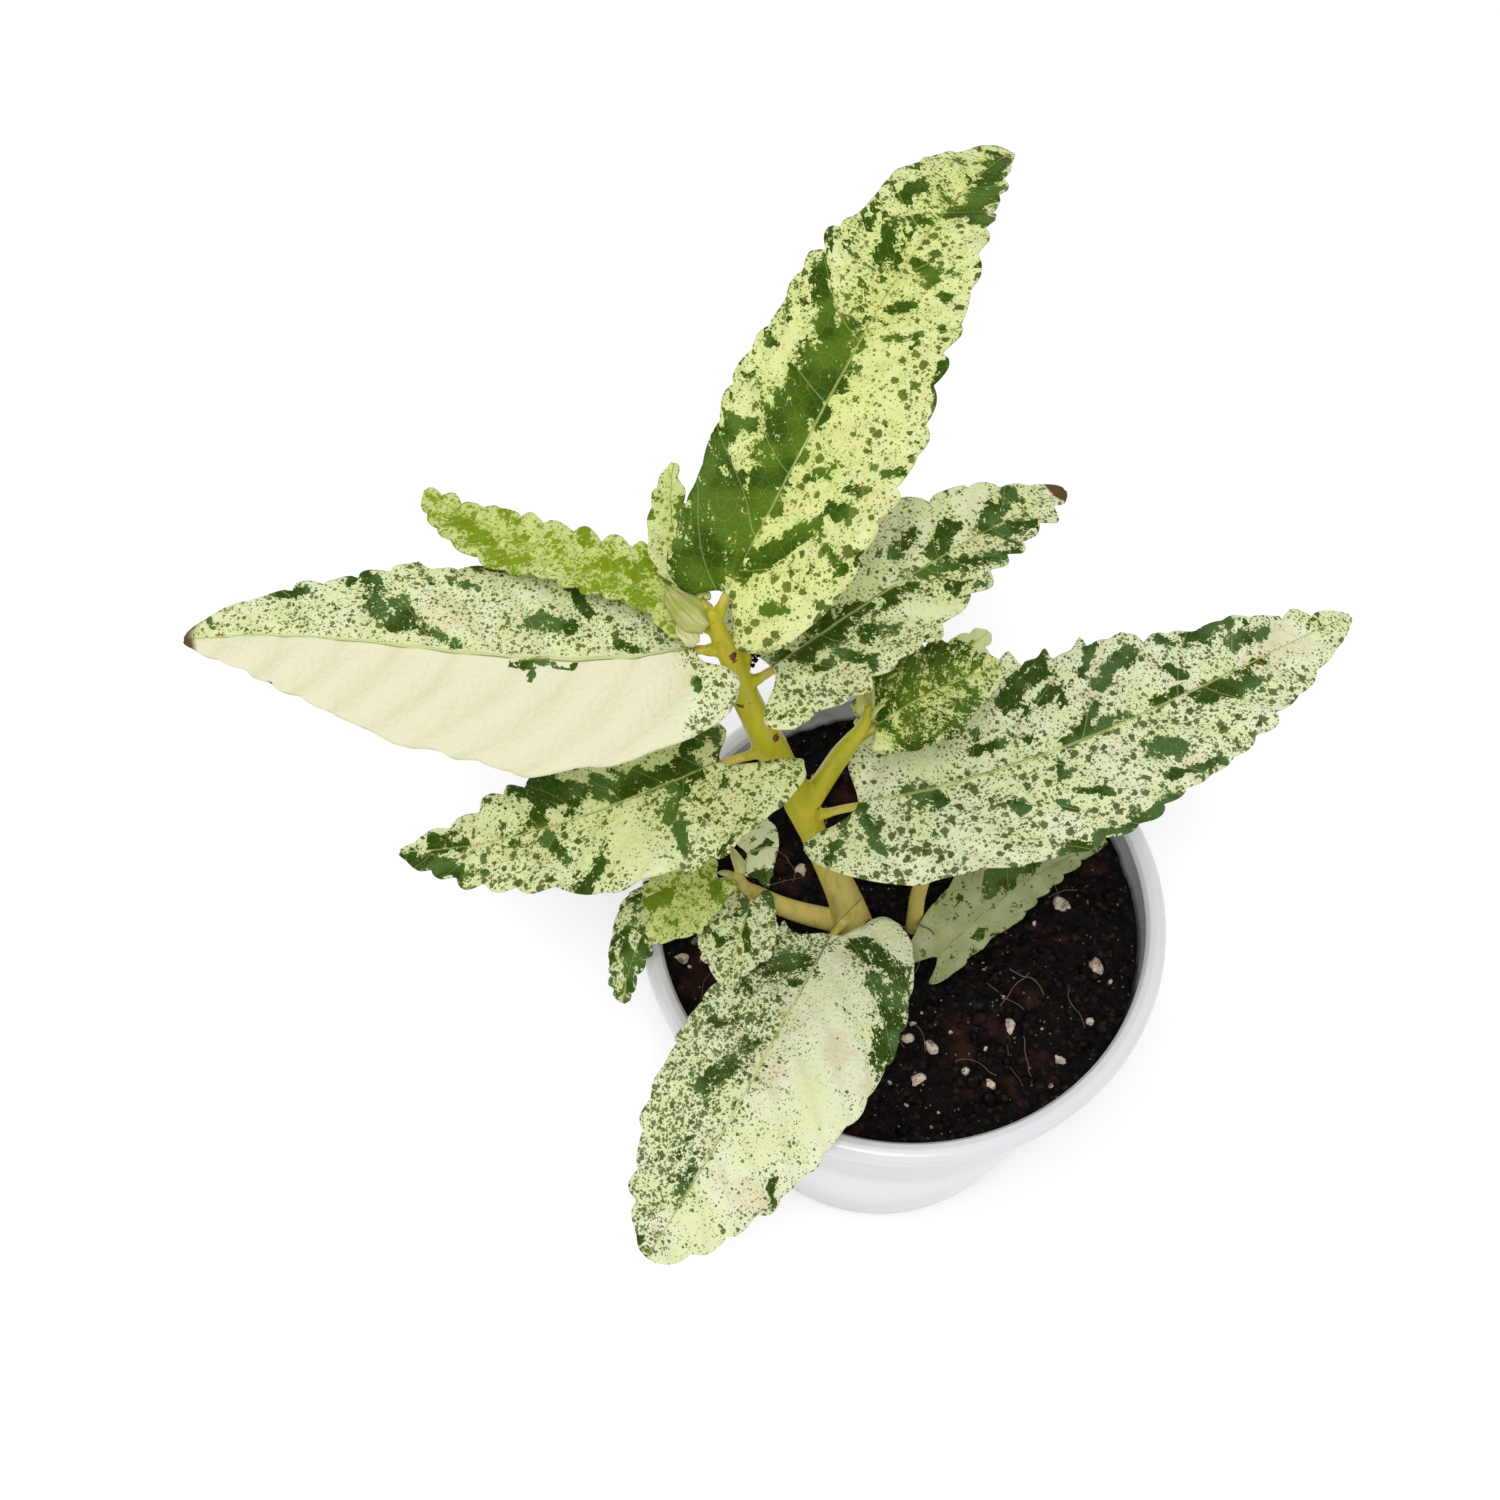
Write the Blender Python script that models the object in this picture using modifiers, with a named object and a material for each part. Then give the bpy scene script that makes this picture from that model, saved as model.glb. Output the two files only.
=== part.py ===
"""Potted pellionia: a variegated foliage plant in a white plastic nursery pot.

Units are metres and +Z is up. The origin is the middle of the pot's flat base.
The plant leans to -X, and its lowest big leaf hangs over the rim towards -Y.
"""

import math

import bmesh
import bpy
import numpy as np

MM = 0.001

# Pot: a thin moulded cup with a rolled lip and drainage holes in the base
POT_HEIGHT = 80.0
RIM_RADIUS = 45.0
LIP_WIDTH = 3.8
LIP_DEPTH = 4.5
BASE_RADIUS = 32.0
WALL = 1.2
FLOOR = 1.6
POT_STEPS = 48
DRAIN_HOLES = 6
DRAIN_RADIUS = 2.8
DRAIN_RING = 20.0

# Soil: peat filled to 8 mm below the rim, with white grains of perlite in it
SOIL_TOP = 72.0
SOIL_GAP = 0.35
SOIL_RELIEF = 0.7
SOIL_STEPS = 40
GRAIN_SEED = 7
GRAIN_COUNT = 14
GRAIN_FIELD = 36.0
GRAIN_SIZE = (0.8, 1.4)

# The largest grains: position across the soil and radius
LARGE_GRAINS = [
    ((4.5, -23.0), 1.7),
    ((2.0, -28.5), 1.5),
    ((0.5, -21.5), 1.2),
    ((18.0, -19.5), 1.6),
    ((33.5, -8.5), 1.8),
    ((28.5, 3.0), 1.7),
    ((26.0, -25.0), 1.2),
    ((-38.0, -7.0), 1.6),
    ((-17.0, 10.0), 1.5),
    ((14.0, -29.5), 1.1),
]

# Stems: points of each centreline and the radius there
STEMS = {
    "main": {
        "points": [(-8, -2, 54), (-8, -2, 64), (-8, -2, 73), (-10, -0.5, 82.5), (-13, 0, 94),
                   (-16, 1, 104.5), (-18, 1.5, 113), (-20.5, 2, 121.5), (-23, 2.5, 129.5),
                   (-25.5, 3.5, 137.5), (-27, 3.5, 143.5), (-28.5, 4, 150.5), (-30, 4.5, 156),
                   (-31, 5, 161)],
        "radii": [3.2, 3.4, 3.6, 2.9, 2.4, 2.2, 2.7, 2.2, 2.4, 1.9, 2.0, 1.5, 1.4, 0.8],
    },
    "left": {
        "points": [(-10, -1.5, 75), (-16.5, -1.5, 78.5), (-21, -1.5, 82), (-24.5, -1, 85),
                   (-27, -1, 88.5), (-28, 0, 92)],
        "radii": [2.1, 1.9, 1.7, 1.5, 1.2, 0.8],
    },
    "right": {
        "points": [(-17, 2, 112), (-14.5, 3, 119), (-12.5, 3.5, 125), (-11, 4, 128.5),
                   (-9.4, 4.5, 132), (-8.8, 5.2, 136)],
        "radii": [1.8, 1.7, 1.6, 1.3, 1.0, 0.7],
    },
    "stub": {
        "points": [(-27.5, 4, 146), (-26.6, 5.2, 149), (-26.2, 6, 151.5)],
        "radii": [1.2, 1.0, 0.8],
    },
    "second": {
        "points": [(2.5, -1, 54), (2.5, -1, 66), (2.5, -1, 73), (2.5, 0.5, 80), (3, 1.5, 86),
                   (3.5, 2.5, 91)],
        "radii": [1.5, 1.5, 1.5, 1.4, 1.3, 0.8],
    },
}
STEM_SIDES = 10
SHOOT_SIDES = 8
PATH_STEPS = 2

# Blades and leafstalks
BLADE_THICKNESS = 0.7
STALK_RADIUS = 1.1
STALK_TIP_RADIUS = 0.5
STALK_RUN = 6.0
STALK_SIDES = 6
STEM_GAP = 0.3


def leaf(**sizes):
    """A leaf's sizes in millimetres and degrees; pairs are base and tip, or left and right."""
    spec = {
        "stalk_heading": None,   # direction of the leafstalk seen from above
        "stalk_pitch": 20,       # its slope
        "stalk": 3.0,            # its length outside the stem
        "turn": 0,               # extra heading half way along the blade
        "roll": (0, 0),          # the blade's tilt to one side, at base and tip
        "fold": (0, 0),          # how far each half is raised from flat
        "lobes": (2, 2),         # how far each half runs back behind the leafstalk
        "base": (0.55, 0.55),    # width of each half at the base, as a share of its widest
        "peak": (0.42, 0.42),    # where each half is widest
        "fullness": (0.75, 0.75),
        "teeth": 9,
        "tooth": (0.5, 0.5),     # depth of the teeth on each side
        "waves": 3,
        "wave": 0.5,             # height of the waved edge
        "columns": 4,
    }
    spec.update(sizes)
    return spec


LEAVES = {
    "leaf_top": leaf(
        stem=("main", 12.6), stalk=2, stalk_heading=62, stalk_pitch=37, heading=(53, 52), turn=9,
        pitch=(38, -17), length=82.5, width=(11.5, 14.5), fold=(12, 5), roll=(-1, -4),
        lobes=(2.5, 5.5), peak=(0.36, 0.22), fullness=(0.35, 0.8), teeth=17, tooth=(0.8, 0.6),
        waves=4, wave=0.8, columns=6),
    "leaf_upper_right": leaf(
        stem=("main", 10.1), stalk=4.2, stalk_heading=12, stalk_pitch=38, heading=(36, 34),
        turn=1, pitch=(7, -7), length=51.5, width=(13.5, 9.5), roll=(2, 0), lobes=(2, 6),
        peak=(0.28, 0.22), fullness=(0.75, 0.7), teeth=12, tooth=(0.6, 1.1), waves=3, wave=0.7,
        columns=6),
    "leaf_upper_left": leaf(
        stem=("main", 11.4), stalk=2.2, stalk_heading=190, stalk_pitch=20, heading=(197, 185),
        turn=-20, pitch=(3, -7), length=70.5, width=(15, 15.5), fold=(-18, -7), lobes=(5, 3),
        peak=(0.3, 0.32), fullness=(0.8, 0.7), teeth=15, tooth=(0.25, 0.6), waves=3, wave=0.5,
        columns=6),
    "leaf_lower_left": leaf(
        stem=("main", 7.9), stalk=4.8, stalk_heading=202, stalk_pitch=9, heading=(206, 171),
        turn=7, pitch=(0, -16), length=49.5, width=(13, 11), roll=(-1, 3), lobes=(11, 3),
        peak=(0.24, 0.26), fullness=(0.8, 0.85), teeth=11, tooth=(0.7, 0.7), waves=4, wave=0.8,
        columns=6),
    "leaf_right": leaf(
        stem=("main", 5.5), stalk=6.5, stalk_heading=-7, stalk_pitch=38, heading=(3, 29), turn=9,
        pitch=(12, -7), length=87, width=(17, 16), lobes=(1, 9), peak=(0.24, 0.3),
        fullness=(0.8, 0.7), teeth=18, tooth=(1.0, 0.5), waves=4, wave=0.9, columns=6),
    "leaf_front": leaf(
        stem=("main", 2.5), stalk=4, stalk_heading=239, stalk_pitch=33, heading=(245, 230),
        turn=3, pitch=(21, -38), length=62.5, width=(17.5, 13.5), roll=(2, -2),
        lobes=(8.5, -3), peak=(0.3, 0.48), fullness=(0.6, 0.65), teeth=13, tooth=(0.6, 0.8),
        waves=3, wave=0.8, columns=6),
    "leaf_inner_right": leaf(
        stem=("right", 2.95), stalk=1.6, stalk_heading=25, stalk_pitch=17, heading=(32, 20),
        turn=2, pitch=(12, -9), length=22, width=(8, 7), lobes=(1.5, 2.5), peak=(0.42, 0.36),
        teeth=8),
    "leaf_behind_right": leaf(
        stem=("right", 1.9), stalk=4, stalk_heading=40, stalk_pitch=4, heading=(45, 43),
        pitch=(0, -3), length=26.5, width=(4, 4), lobes=(1, 1), teeth=8, tooth=(0.4, 0.4)),
    "leaf_upper_back": leaf(
        stem=("main", 12.2), stalk=3.6, stalk_heading=162, stalk_pitch=5, heading=(138, 131),
        turn=18, pitch=(2, -11), length=44.5, width=(5, 5), peak=(0.64, 0.28),
        fullness=(0.75, 0.85), teeth=12, tooth=(0.7, 0.9)),
    "leaf_young": leaf(
        stem=("main", 12.9), stalk=2.6, stalk_heading=120, stalk_pitch=-13, heading=(120, 80),
        pitch=(0, 16), length=21.5, width=(3, 1.8), lobes=(1, 1), teeth=6, tooth=(0.4, 0.4),
        wave=0.3),
    "leaf_low_right": leaf(
        stem=("second", 2.1), stalk=6.6, stalk_heading=297, stalk_pitch=10, heading=(45, 22),
        turn=1, pitch=(14, -1), length=36.5, width=(8, 4), lobes=(4, 4.5), peak=(0.38, 0.26),
        teeth=10, wave=0.4),
    "leaf_side_round": leaf(
        stem=("left", 4.8), stalk=2, stalk_heading=57, stalk_pitch=26, heading=(20, -4),
        pitch=(30, 0), length=5, width=(6.5, 6), lobes=(1, 2), teeth=5, tooth=(0.15, 0.15),
        wave=0.2),
    "leaf_side_left": leaf(
        stem=("left", 4.65), stalk=2.8, stalk_heading=203, stalk_pitch=27, heading=(216, 229),
        turn=4, pitch=(9, -16), length=15, width=(4.5, 6.5), peak=(0.4, 0.44),
        fullness=(0.7, 0.75), teeth=6, tooth=(0.4, 0.4), wave=0.3),
    "leaf_side_droop": leaf(
        stem=("left", 3.9), stalk=8, stalk_heading=181, stalk_pitch=11, heading=(223, 250),
        turn=5, pitch=(0, -59), length=23.5, width=(2, 5), lobes=(1, 1), peak=(0.42, 0.38),
        teeth=8, tooth=(0.4, 0.4), wave=0.3),
    "leaf_side_front": leaf(
        stem=("left", 3.65), stalk=2.1, stalk_heading=274, stalk_pitch=34, heading=(260, 245),
        pitch=(6, -18), length=14.5, width=(5, 6.5), lobes=(2.5, 2), peak=(0.36, 0.44), teeth=6,
        tooth=(0.4, 0.4), wave=0.3),
}

COLOURS = {
    "white_plastic": ((0.80, 0.80, 0.84), 0.25),
    "peat": ((0.035, 0.024, 0.018), 0.95),
    "stem_green": ((0.42, 0.40, 0.12), 0.45),
    "leaf_variegated": ((0.52, 0.58, 0.30), 0.45),
    "leaf_cream": ((0.78, 0.77, 0.56), 0.45),
    "leaf_fresh": ((0.48, 0.55, 0.14), 0.45),
}

LEAF_COLOUR = {
    "leaf_upper_left": "leaf_cream",
    "leaf_front": "leaf_cream",
    "leaf_upper_back": "leaf_fresh",
    "leaf_young": "leaf_fresh",
    "leaf_side_left": "leaf_fresh",
    "leaf_side_round": "leaf_cream",
}


def clear_scene():
    for item in list(bpy.data.objects):
        bpy.data.objects.remove(item, do_unlink=True)


def make_material(name):
    colour, roughness = COLOURS[name]
    material = bpy.data.materials.new(name)
    material.use_nodes = True
    shader = material.node_tree.nodes["Principled BSDF"]
    shader.inputs["Base Color"].default_value = (*colour, 1.0)
    shader.inputs["Roughness"].default_value = roughness
    shader.inputs["Metallic"].default_value = 0.0
    return material


def new_collection(name):
    collection = bpy.data.collections.new(name)
    bpy.context.scene.collection.children.link(collection)
    return collection


def add_object(name, data, collection, material=None):
    item = bpy.data.objects.new(name, data)
    collection.objects.link(item)
    if material is not None:
        data.materials.clear()
        data.materials.append(material)
    return item


def shade(mesh, angle=35.0):
    mesh.shade_smooth()
    mesh.set_sharp_from_angle(angle=math.radians(angle))


def apply_modifiers(item):
    """Replaces an object's mesh by the one its modifiers give."""
    bpy.context.view_layer.update()
    evaluated = item.evaluated_get(bpy.context.evaluated_depsgraph_get())
    mesh = bpy.data.meshes.new_from_object(evaluated)
    item.modifiers.clear()
    old = item.data
    item.data = mesh
    bpy.data.meshes.remove(old)
    mesh.name = item.name


def join(item, others, operation="UNION", solver="EXACT"):
    """Joins or cuts an object by others, and removes them."""
    tools = new_collection(item.name + "_tools")
    for other in others:
        for owner in list(other.users_collection):
            owner.objects.unlink(other)
        tools.objects.link(other)
    modifier = item.modifiers.new("join", "BOOLEAN")
    modifier.operation = operation
    modifier.solver = solver
    modifier.operand_type = "COLLECTION"
    modifier.collection = tools
    apply_modifiers(item)
    for other in list(tools.objects):
        bpy.data.objects.remove(other, do_unlink=True)
    bpy.data.collections.remove(tools)


def smooth_path(points, radii, steps):
    """A curve through the points, with the radius and the point number at each step."""
    points = np.array(points, float)
    ends = np.vstack([2 * points[0] - points[1], points, 2 * points[-1] - points[-2]])
    path = []
    for i in range(len(points) - 1):
        a, b, c, d = ends[i:i + 4]
        for k in range(steps):
            t = k / steps
            place = 0.5 * (2 * b + (c - a) * t + (2 * a - 5 * b + 4 * c - d) * t ** 2
                           + (3 * b - a - 3 * c + d) * t ** 3)
            path.append((i + t, radii[i] * (1 - t) + radii[i + 1] * t, place))
    path.append((len(points) - 1.0, radii[-1], points[-1]))
    return path


def stem_at(name, number):
    """Place, direction and radius of a stem at a point number, which may lie between two points."""
    path = smooth_path(STEMS[name]["points"], STEMS[name]["radii"], 8)
    numbers = [step[0] for step in path]
    line = np.array([step[2] for step in path])
    slope = np.gradient(line, axis=0)
    place = np.array([np.interp(number, numbers, line[:, k]) for k in range(3)])
    way = np.array([np.interp(number, numbers, slope[:, k]) for k in range(3)])
    radius = float(np.interp(number, numbers, [step[1] for step in path]))
    return place, way / np.linalg.norm(way), radius


def tube(name, points, radii, sides, collection):
    """A closed tube along the points, as a mesh."""
    curve = bpy.data.curves.new(name, "CURVE")
    curve.dimensions = "3D"
    curve.bevel_depth = MM
    curve.bevel_resolution = (sides - 4) // 2
    curve.use_fill_caps = True
    spline = curve.splines.new("POLY")
    spline.points.add(len(points) - 1)
    for point, place, radius in zip(spline.points, points, radii):
        point.co = (place[0] * MM, place[1] * MM, place[2] * MM, 1.0)
        point.radius = radius
    guide = add_object(name + "_curve", curve, collection)
    bpy.context.view_layer.update()
    evaluated = guide.evaluated_get(bpy.context.evaluated_depsgraph_get())
    mesh = bpy.data.meshes.new_from_object(evaluated)
    bm = bmesh.new()
    bm.from_mesh(mesh)
    bmesh.ops.remove_doubles(bm, verts=bm.verts, dist=0.01 * MM)
    bmesh.ops.recalc_face_normals(bm, faces=bm.faces)
    bm.to_mesh(mesh)
    bm.free()
    item = add_object(name, mesh, collection)
    item.matrix_world = guide.matrix_world.copy()
    bpy.data.objects.remove(guide, do_unlink=True)
    return item


def direction(heading, pitch):
    """Unit vectors for headings and pitches in degrees."""
    heading = np.radians(heading)
    pitch = np.radians(pitch)
    return np.stack([np.cos(pitch) * np.cos(heading), np.cos(pitch) * np.sin(heading),
                     np.sin(pitch) * np.ones_like(heading)], axis=-1)


def stalk_radius(spec):
    """Radius of the leafstalk, which is thinner on a small leaf."""
    return STALK_RADIUS * min(1.0, 0.45 + spec["length"] / 100)


def stalk_ends(spec):
    """Where the leafstalk leaves the stem's skin and where the blade begins."""
    place, stem_way, radius = stem_at(*spec["stem"])
    way = direction(np.array(float(spec["stalk_heading"])), np.array(float(spec["stalk_pitch"])))
    lean = abs(float(way @ stem_way))
    out = (radius + STEM_GAP + stalk_radius(spec) * lean) / math.sqrt(1 - lean ** 2)
    return place + way * out, place + way * (out + spec["stalk"])


def midrib(spec, along):
    """Place, direction, left side and upper side of the midrib at distances from the blade's base."""
    count = 100
    share = np.linspace(0, 1, count)
    heading = np.interp(share, (0, 1), spec["heading"]) + spec["turn"] * 4 * share * (1 - share)
    pitch = np.interp(share, (0, 1), spec["pitch"])
    way = direction(heading, pitch)
    step = spec["length"] / (count - 1)
    line = np.vstack([np.zeros(3), np.cumsum((way[1:] + way[:-1]) / 2 * step, axis=0)])
    distance = share * spec["length"]
    inside = np.clip(along, 0, spec["length"])
    place = np.stack([np.interp(inside, distance, line[:, k]) for k in range(3)], axis=-1)
    heading = np.interp(inside, distance, heading)
    ahead = direction(heading, np.interp(inside, distance, pitch))
    place = place + ahead * (along - inside)[:, None] + stalk_ends(spec)[1]
    flat = direction(heading + 90, np.zeros_like(heading))
    upper = np.cross(ahead, flat)
    roll = np.radians(np.interp(inside, (0, spec["length"]), spec["roll"]))[:, None]
    left = flat * np.cos(roll) + upper * np.sin(roll)
    upper = upper * np.cos(roll) - flat * np.sin(roll)
    return place, ahead, left, upper


def half_width(spec, share, side):
    """Width of one half of the blade at a share of its length."""
    power = math.log(0.5) / math.log(spec["peak"][side])
    body = np.clip(np.sin(math.pi * np.clip(share, 0, 1) ** power), 0, 1) ** spec["fullness"][side]
    heel = spec["base"][side] * (1 - share) ** 8 * (1 - body)
    return spec["width"][side] * (body + heel) + 0.5


def blade_points(spec, share, across):
    """Points of the blade's middle surface; share runs from base to tip, across from -1 to 1."""
    left = across >= 0
    out = np.abs(across)

    def pick(key):
        return np.where(left, spec[key][0], spec[key][1])

    width = np.where(left, half_width(spec, share, 0), half_width(spec, share, 1))
    back = pick("lobes") * (1 - share) ** 6 * np.sin(0.72 * math.pi * out) ** 2.2
    phase = spec["teeth"] * share + np.where(left, 0.0, 0.5)
    tooth = 0.5 - np.abs(2 * (phase % 1) - 1)
    ends = np.clip(share * 10, 0, 1) * np.clip((1 - share) * 10, 0, 1)
    fade = np.clip((out - 0.6) / 0.4, 0, 1) ** 1.5 * ends
    along = spec["length"] * share - back
    along = along + fade * tooth * spec["length"] / spec["teeth"] * 0.5
    reach = out * width + fade * tooth * pick("tooth") * 1.6
    angle = np.radians(pick("fold") * np.clip((1 - share) * 4, 0.3, 1))
    ripple = np.sin(2 * math.pi * (spec["waves"] * share + np.where(left, 0, 0.37)))
    ripple = spec["wave"] * out ** 2 * ripple * np.clip((1 - share) * 4, 0, 1)
    place, ahead, side, upper = midrib(spec, along)
    sign = np.where(left, 1.0, -1.0)
    return (place + side * (sign * reach * np.cos(angle))[:, None]
            + upper * (reach * np.sin(angle) + ripple)[:, None])


def build_blade(name, spec, collection, material):
    """The blade: a grid laid on its middle surface, split into triangles and thickened."""
    rows = 2 * spec["teeth"]
    bm = bmesh.new()
    bmesh.ops.create_grid(bm, x_segments=rows, y_segments=spec["columns"], size=1.0)
    share = np.array([(vert.co.x + 1) / 2 for vert in bm.verts])
    across = np.array([round(vert.co.y, 6) for vert in bm.verts])
    for vert, place in zip(bm.verts, blade_points(spec, share, across)):
        vert.co = place * MM
    bmesh.ops.triangulate(bm, faces=bm.faces)
    mesh = bpy.data.meshes.new(name)
    bm.to_mesh(mesh)
    bm.free()
    item = add_object(name, mesh, collection, material)
    solid = item.modifiers.new("thickness", "SOLIDIFY")
    solid.thickness = BLADE_THICKNESS * MM
    solid.offset = 0.0
    apply_modifiers(item)
    return item


def build_leaf(name, spec, collection, material):
    """A leaf: its blade and the leafstalk that runs on under the midrib."""
    item = build_blade(name, spec, collection, material)
    start, base = stalk_ends(spec)
    run = min(STALK_RUN, spec["length"] * 0.25)
    distances = np.array([0.15, 0.5, 1.0]) * run
    place, ahead, left, upper = midrib(spec, distances)
    points = [start, start * 0.45 + base * 0.55] + list(place - upper * 0.25)
    thick = stalk_radius(spec)
    radii = [thick, thick, 0.95 * thick, 0.8 * thick, STALK_TIP_RADIUS]
    stalk = tube(name + "_stalk", points, radii, STALK_SIDES, collection)
    join(item, [stalk])
    item.data.materials.clear()
    item.data.materials.append(material)
    shade(item.data, 60.0)
    return item


def build_stem(name, parts, sides, collection, material):
    """A stem with its side shoots, grown as one piece."""
    tubes = []
    for part, count in zip(parts, sides):
        path = smooth_path(STEMS[part]["points"], STEMS[part]["radii"], PATH_STEPS)
        tubes.append(tube(name + "_" + part, [step[2] for step in path],
                          [step[1] for step in path], count, collection))
    item = tubes[0]
    item.name = name
    item.data.name = name
    if tubes[1:]:
        join(item, tubes[1:])
    item.data.materials.clear()
    item.data.materials.append(material)
    shade(item.data, 50.0)
    return item


def wall_radius(height):
    """Outer radius of the pot's wall at a height."""
    top = RIM_RADIUS - 1.4
    return BASE_RADIUS + (top - BASE_RADIUS) * height / (POT_HEIGHT - LIP_DEPTH)


def turned(name, profile, steps, collection, material):
    """A solid turned about Z from a profile of (radius, height) points, top of the outside first."""
    bm = bmesh.new()
    verts = [bm.verts.new((radius * MM, 0.0, height * MM)) for radius, height in profile]
    for a, b in zip(verts, verts[1:]):
        bm.edges.new((a, b))
    mesh = bpy.data.meshes.new(name)
    bm.to_mesh(mesh)
    bm.free()
    item = add_object(name, mesh, collection, material)
    screw = item.modifiers.new("turn", "SCREW")
    screw.steps = steps
    screw.render_steps = steps
    screw.use_merge_vertices = True
    screw.merge_threshold = 0.00005
    screw.use_smooth_shade = True
    return item


def build_pot(collection, cutters, material):
    inner = RIM_RADIUS - LIP_WIDTH
    profile = [
        (0.0, FLOOR),
        (wall_radius(FLOOR) - WALL - 0.6, FLOOR),
        (wall_radius(FLOOR + 1) - WALL, FLOOR + 1),
        (wall_radius(POT_HEIGHT - LIP_DEPTH) - WALL, POT_HEIGHT - LIP_DEPTH - 0.5),
        (inner + 0.3, POT_HEIGHT - 1.4),
        (inner + 0.9, POT_HEIGHT - 0.4),
        (inner + 1.9, POT_HEIGHT),
        (RIM_RADIUS - 0.9, POT_HEIGHT - 0.2),
        (RIM_RADIUS - 0.2, POT_HEIGHT - 0.9),
        (RIM_RADIUS, POT_HEIGHT - 2.0),
        (RIM_RADIUS - 0.3, POT_HEIGHT - LIP_DEPTH),
        (wall_radius(POT_HEIGHT - LIP_DEPTH), POT_HEIGHT - LIP_DEPTH),
        (wall_radius(1.2), 1.2),
        (BASE_RADIUS - 0.9, 0.0),
        (0.0, 0.0),
    ]
    pot = turned("pot", profile, POT_STEPS, collection, material)
    for number in range(DRAIN_HOLES):
        angle = 2 * math.pi * (number + 0.5) / DRAIN_HOLES
        bm = bmesh.new()
        bmesh.ops.create_cone(bm, cap_ends=True, segments=12, radius1=DRAIN_RADIUS * MM,
                              radius2=DRAIN_RADIUS * MM, depth=4 * FLOOR * MM)
        mesh = bpy.data.meshes.new("drain_hole")
        bm.to_mesh(mesh)
        bm.free()
        cutter = add_object("drain_hole_%d" % (number + 1), mesh, cutters)
        cutter.location = (DRAIN_RING * MM * math.cos(angle), DRAIN_RING * MM * math.sin(angle),
                           FLOOR * MM / 2)
        cutter.display_type = "WIRE"
        cutter.hide_render = True
    holes = pot.modifiers.new("drain_holes", "BOOLEAN")
    holes.operation = "DIFFERENCE"
    holes.solver = "EXACT"
    holes.operand_type = "COLLECTION"
    holes.collection = cutters
    return pot


def soil_height(x, y):
    """Relief of the soil's surface in millimetres, as clods and hollows."""
    clods = (math.sin(0.31 * x + 1.7) * math.cos(0.27 * y + 0.4)
             + 0.6 * math.sin(0.63 * x - 0.5 * y + 2.1)
             + 0.4 * math.cos(0.93 * y + 0.71 * x))
    return SOIL_RELIEF * clods / 2.0


def build_soil(collection, material):
    """Peat in the pot, crumbled on top, with grains pressed in and holes for the two stems."""
    low = FLOOR + SOIL_GAP
    clear = WALL + SOIL_GAP
    edge = wall_radius(SOIL_TOP) - clear
    profile = [
        (0.0, low),
        (wall_radius(low) - clear - 1.2, low),
        (wall_radius(low + 1.5) - clear, low + 1.5),
        (edge - 0.2, SOIL_TOP - 1.5),
        (edge - 1.2, SOIL_TOP - 0.3),
    ]
    profile += [(radius, SOIL_TOP) for radius in (35.0, 28.0, 21.0, 14.0, 7.0, 0.0)]
    profile.reverse()
    soil = turned("soil", profile, SOIL_STEPS, collection, material)
    apply_modifiers(soil)
    for vert in soil.data.vertices:
        x, y, z = vert.co / MM
        if z > SOIL_TOP - 0.1:
            vert.co.z += soil_height(x, y) * MM

    draw = np.random.default_rng(GRAIN_SEED)
    grains = list(LARGE_GRAINS)
    while len(grains) < len(LARGE_GRAINS) + GRAIN_COUNT:
        x, y = draw.uniform(-GRAIN_FIELD, GRAIN_FIELD, 2)
        size = draw.uniform(*GRAIN_SIZE)
        apart = all(math.hypot(x - a, y - b) > size + other + 1.5 for (a, b), other in grains)
        off_stems = math.hypot(x + 8, y + 2) > 7 and math.hypot(x - 2.5, y + 1) > 5
        if math.hypot(x, y) < GRAIN_FIELD and apart and off_stems:
            grains.append(((x, y), size))
    bodies = []
    for number, ((x, y), size) in enumerate(grains):
        bm = bmesh.new()
        bmesh.ops.create_icosphere(bm, subdivisions=1, radius=size * MM)
        stretch = 0.8 + 0.4 * draw.random()
        turn = draw.uniform(0, math.pi)
        for vert in bm.verts:
            a = vert.co.x * math.cos(turn) - vert.co.y * math.sin(turn)
            b = vert.co.x * math.sin(turn) + vert.co.y * math.cos(turn)
            vert.co.x = a * stretch
            vert.co.y = b
            vert.co.z *= 0.8
        mesh = bpy.data.meshes.new("grain")
        bm.to_mesh(mesh)
        bm.free()
        grain = add_object("grain_%d" % number, mesh, collection)
        grain.location = (x * MM, y * MM, (SOIL_TOP + soil_height(x, y) + 0.05 * size) * MM)
        bodies.append(grain)
    join(soil, bodies)

    holes = []
    for stem in ("main", "second"):
        x, y, bottom = STEMS[stem]["points"][0]
        radius = max(STEMS[stem]["radii"][:3]) + STEM_GAP
        bm = bmesh.new()
        bmesh.ops.create_cone(bm, cap_ends=True, segments=16, radius1=radius * MM,
                              radius2=radius * MM, depth=30 * MM)
        mesh = bpy.data.meshes.new("stem_hole")
        bm.to_mesh(mesh)
        bm.free()
        hole = add_object("stem_hole_" + stem, mesh, collection)
        hole.location = (x * MM, y * MM, (bottom - STEM_GAP + 15.0) * MM)
        holes.append(hole)
    join(soil, holes, "DIFFERENCE")
    soil.data.materials.clear()
    soil.data.materials.append(material)
    shade(soil.data, 40.0)
    return soil


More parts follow.
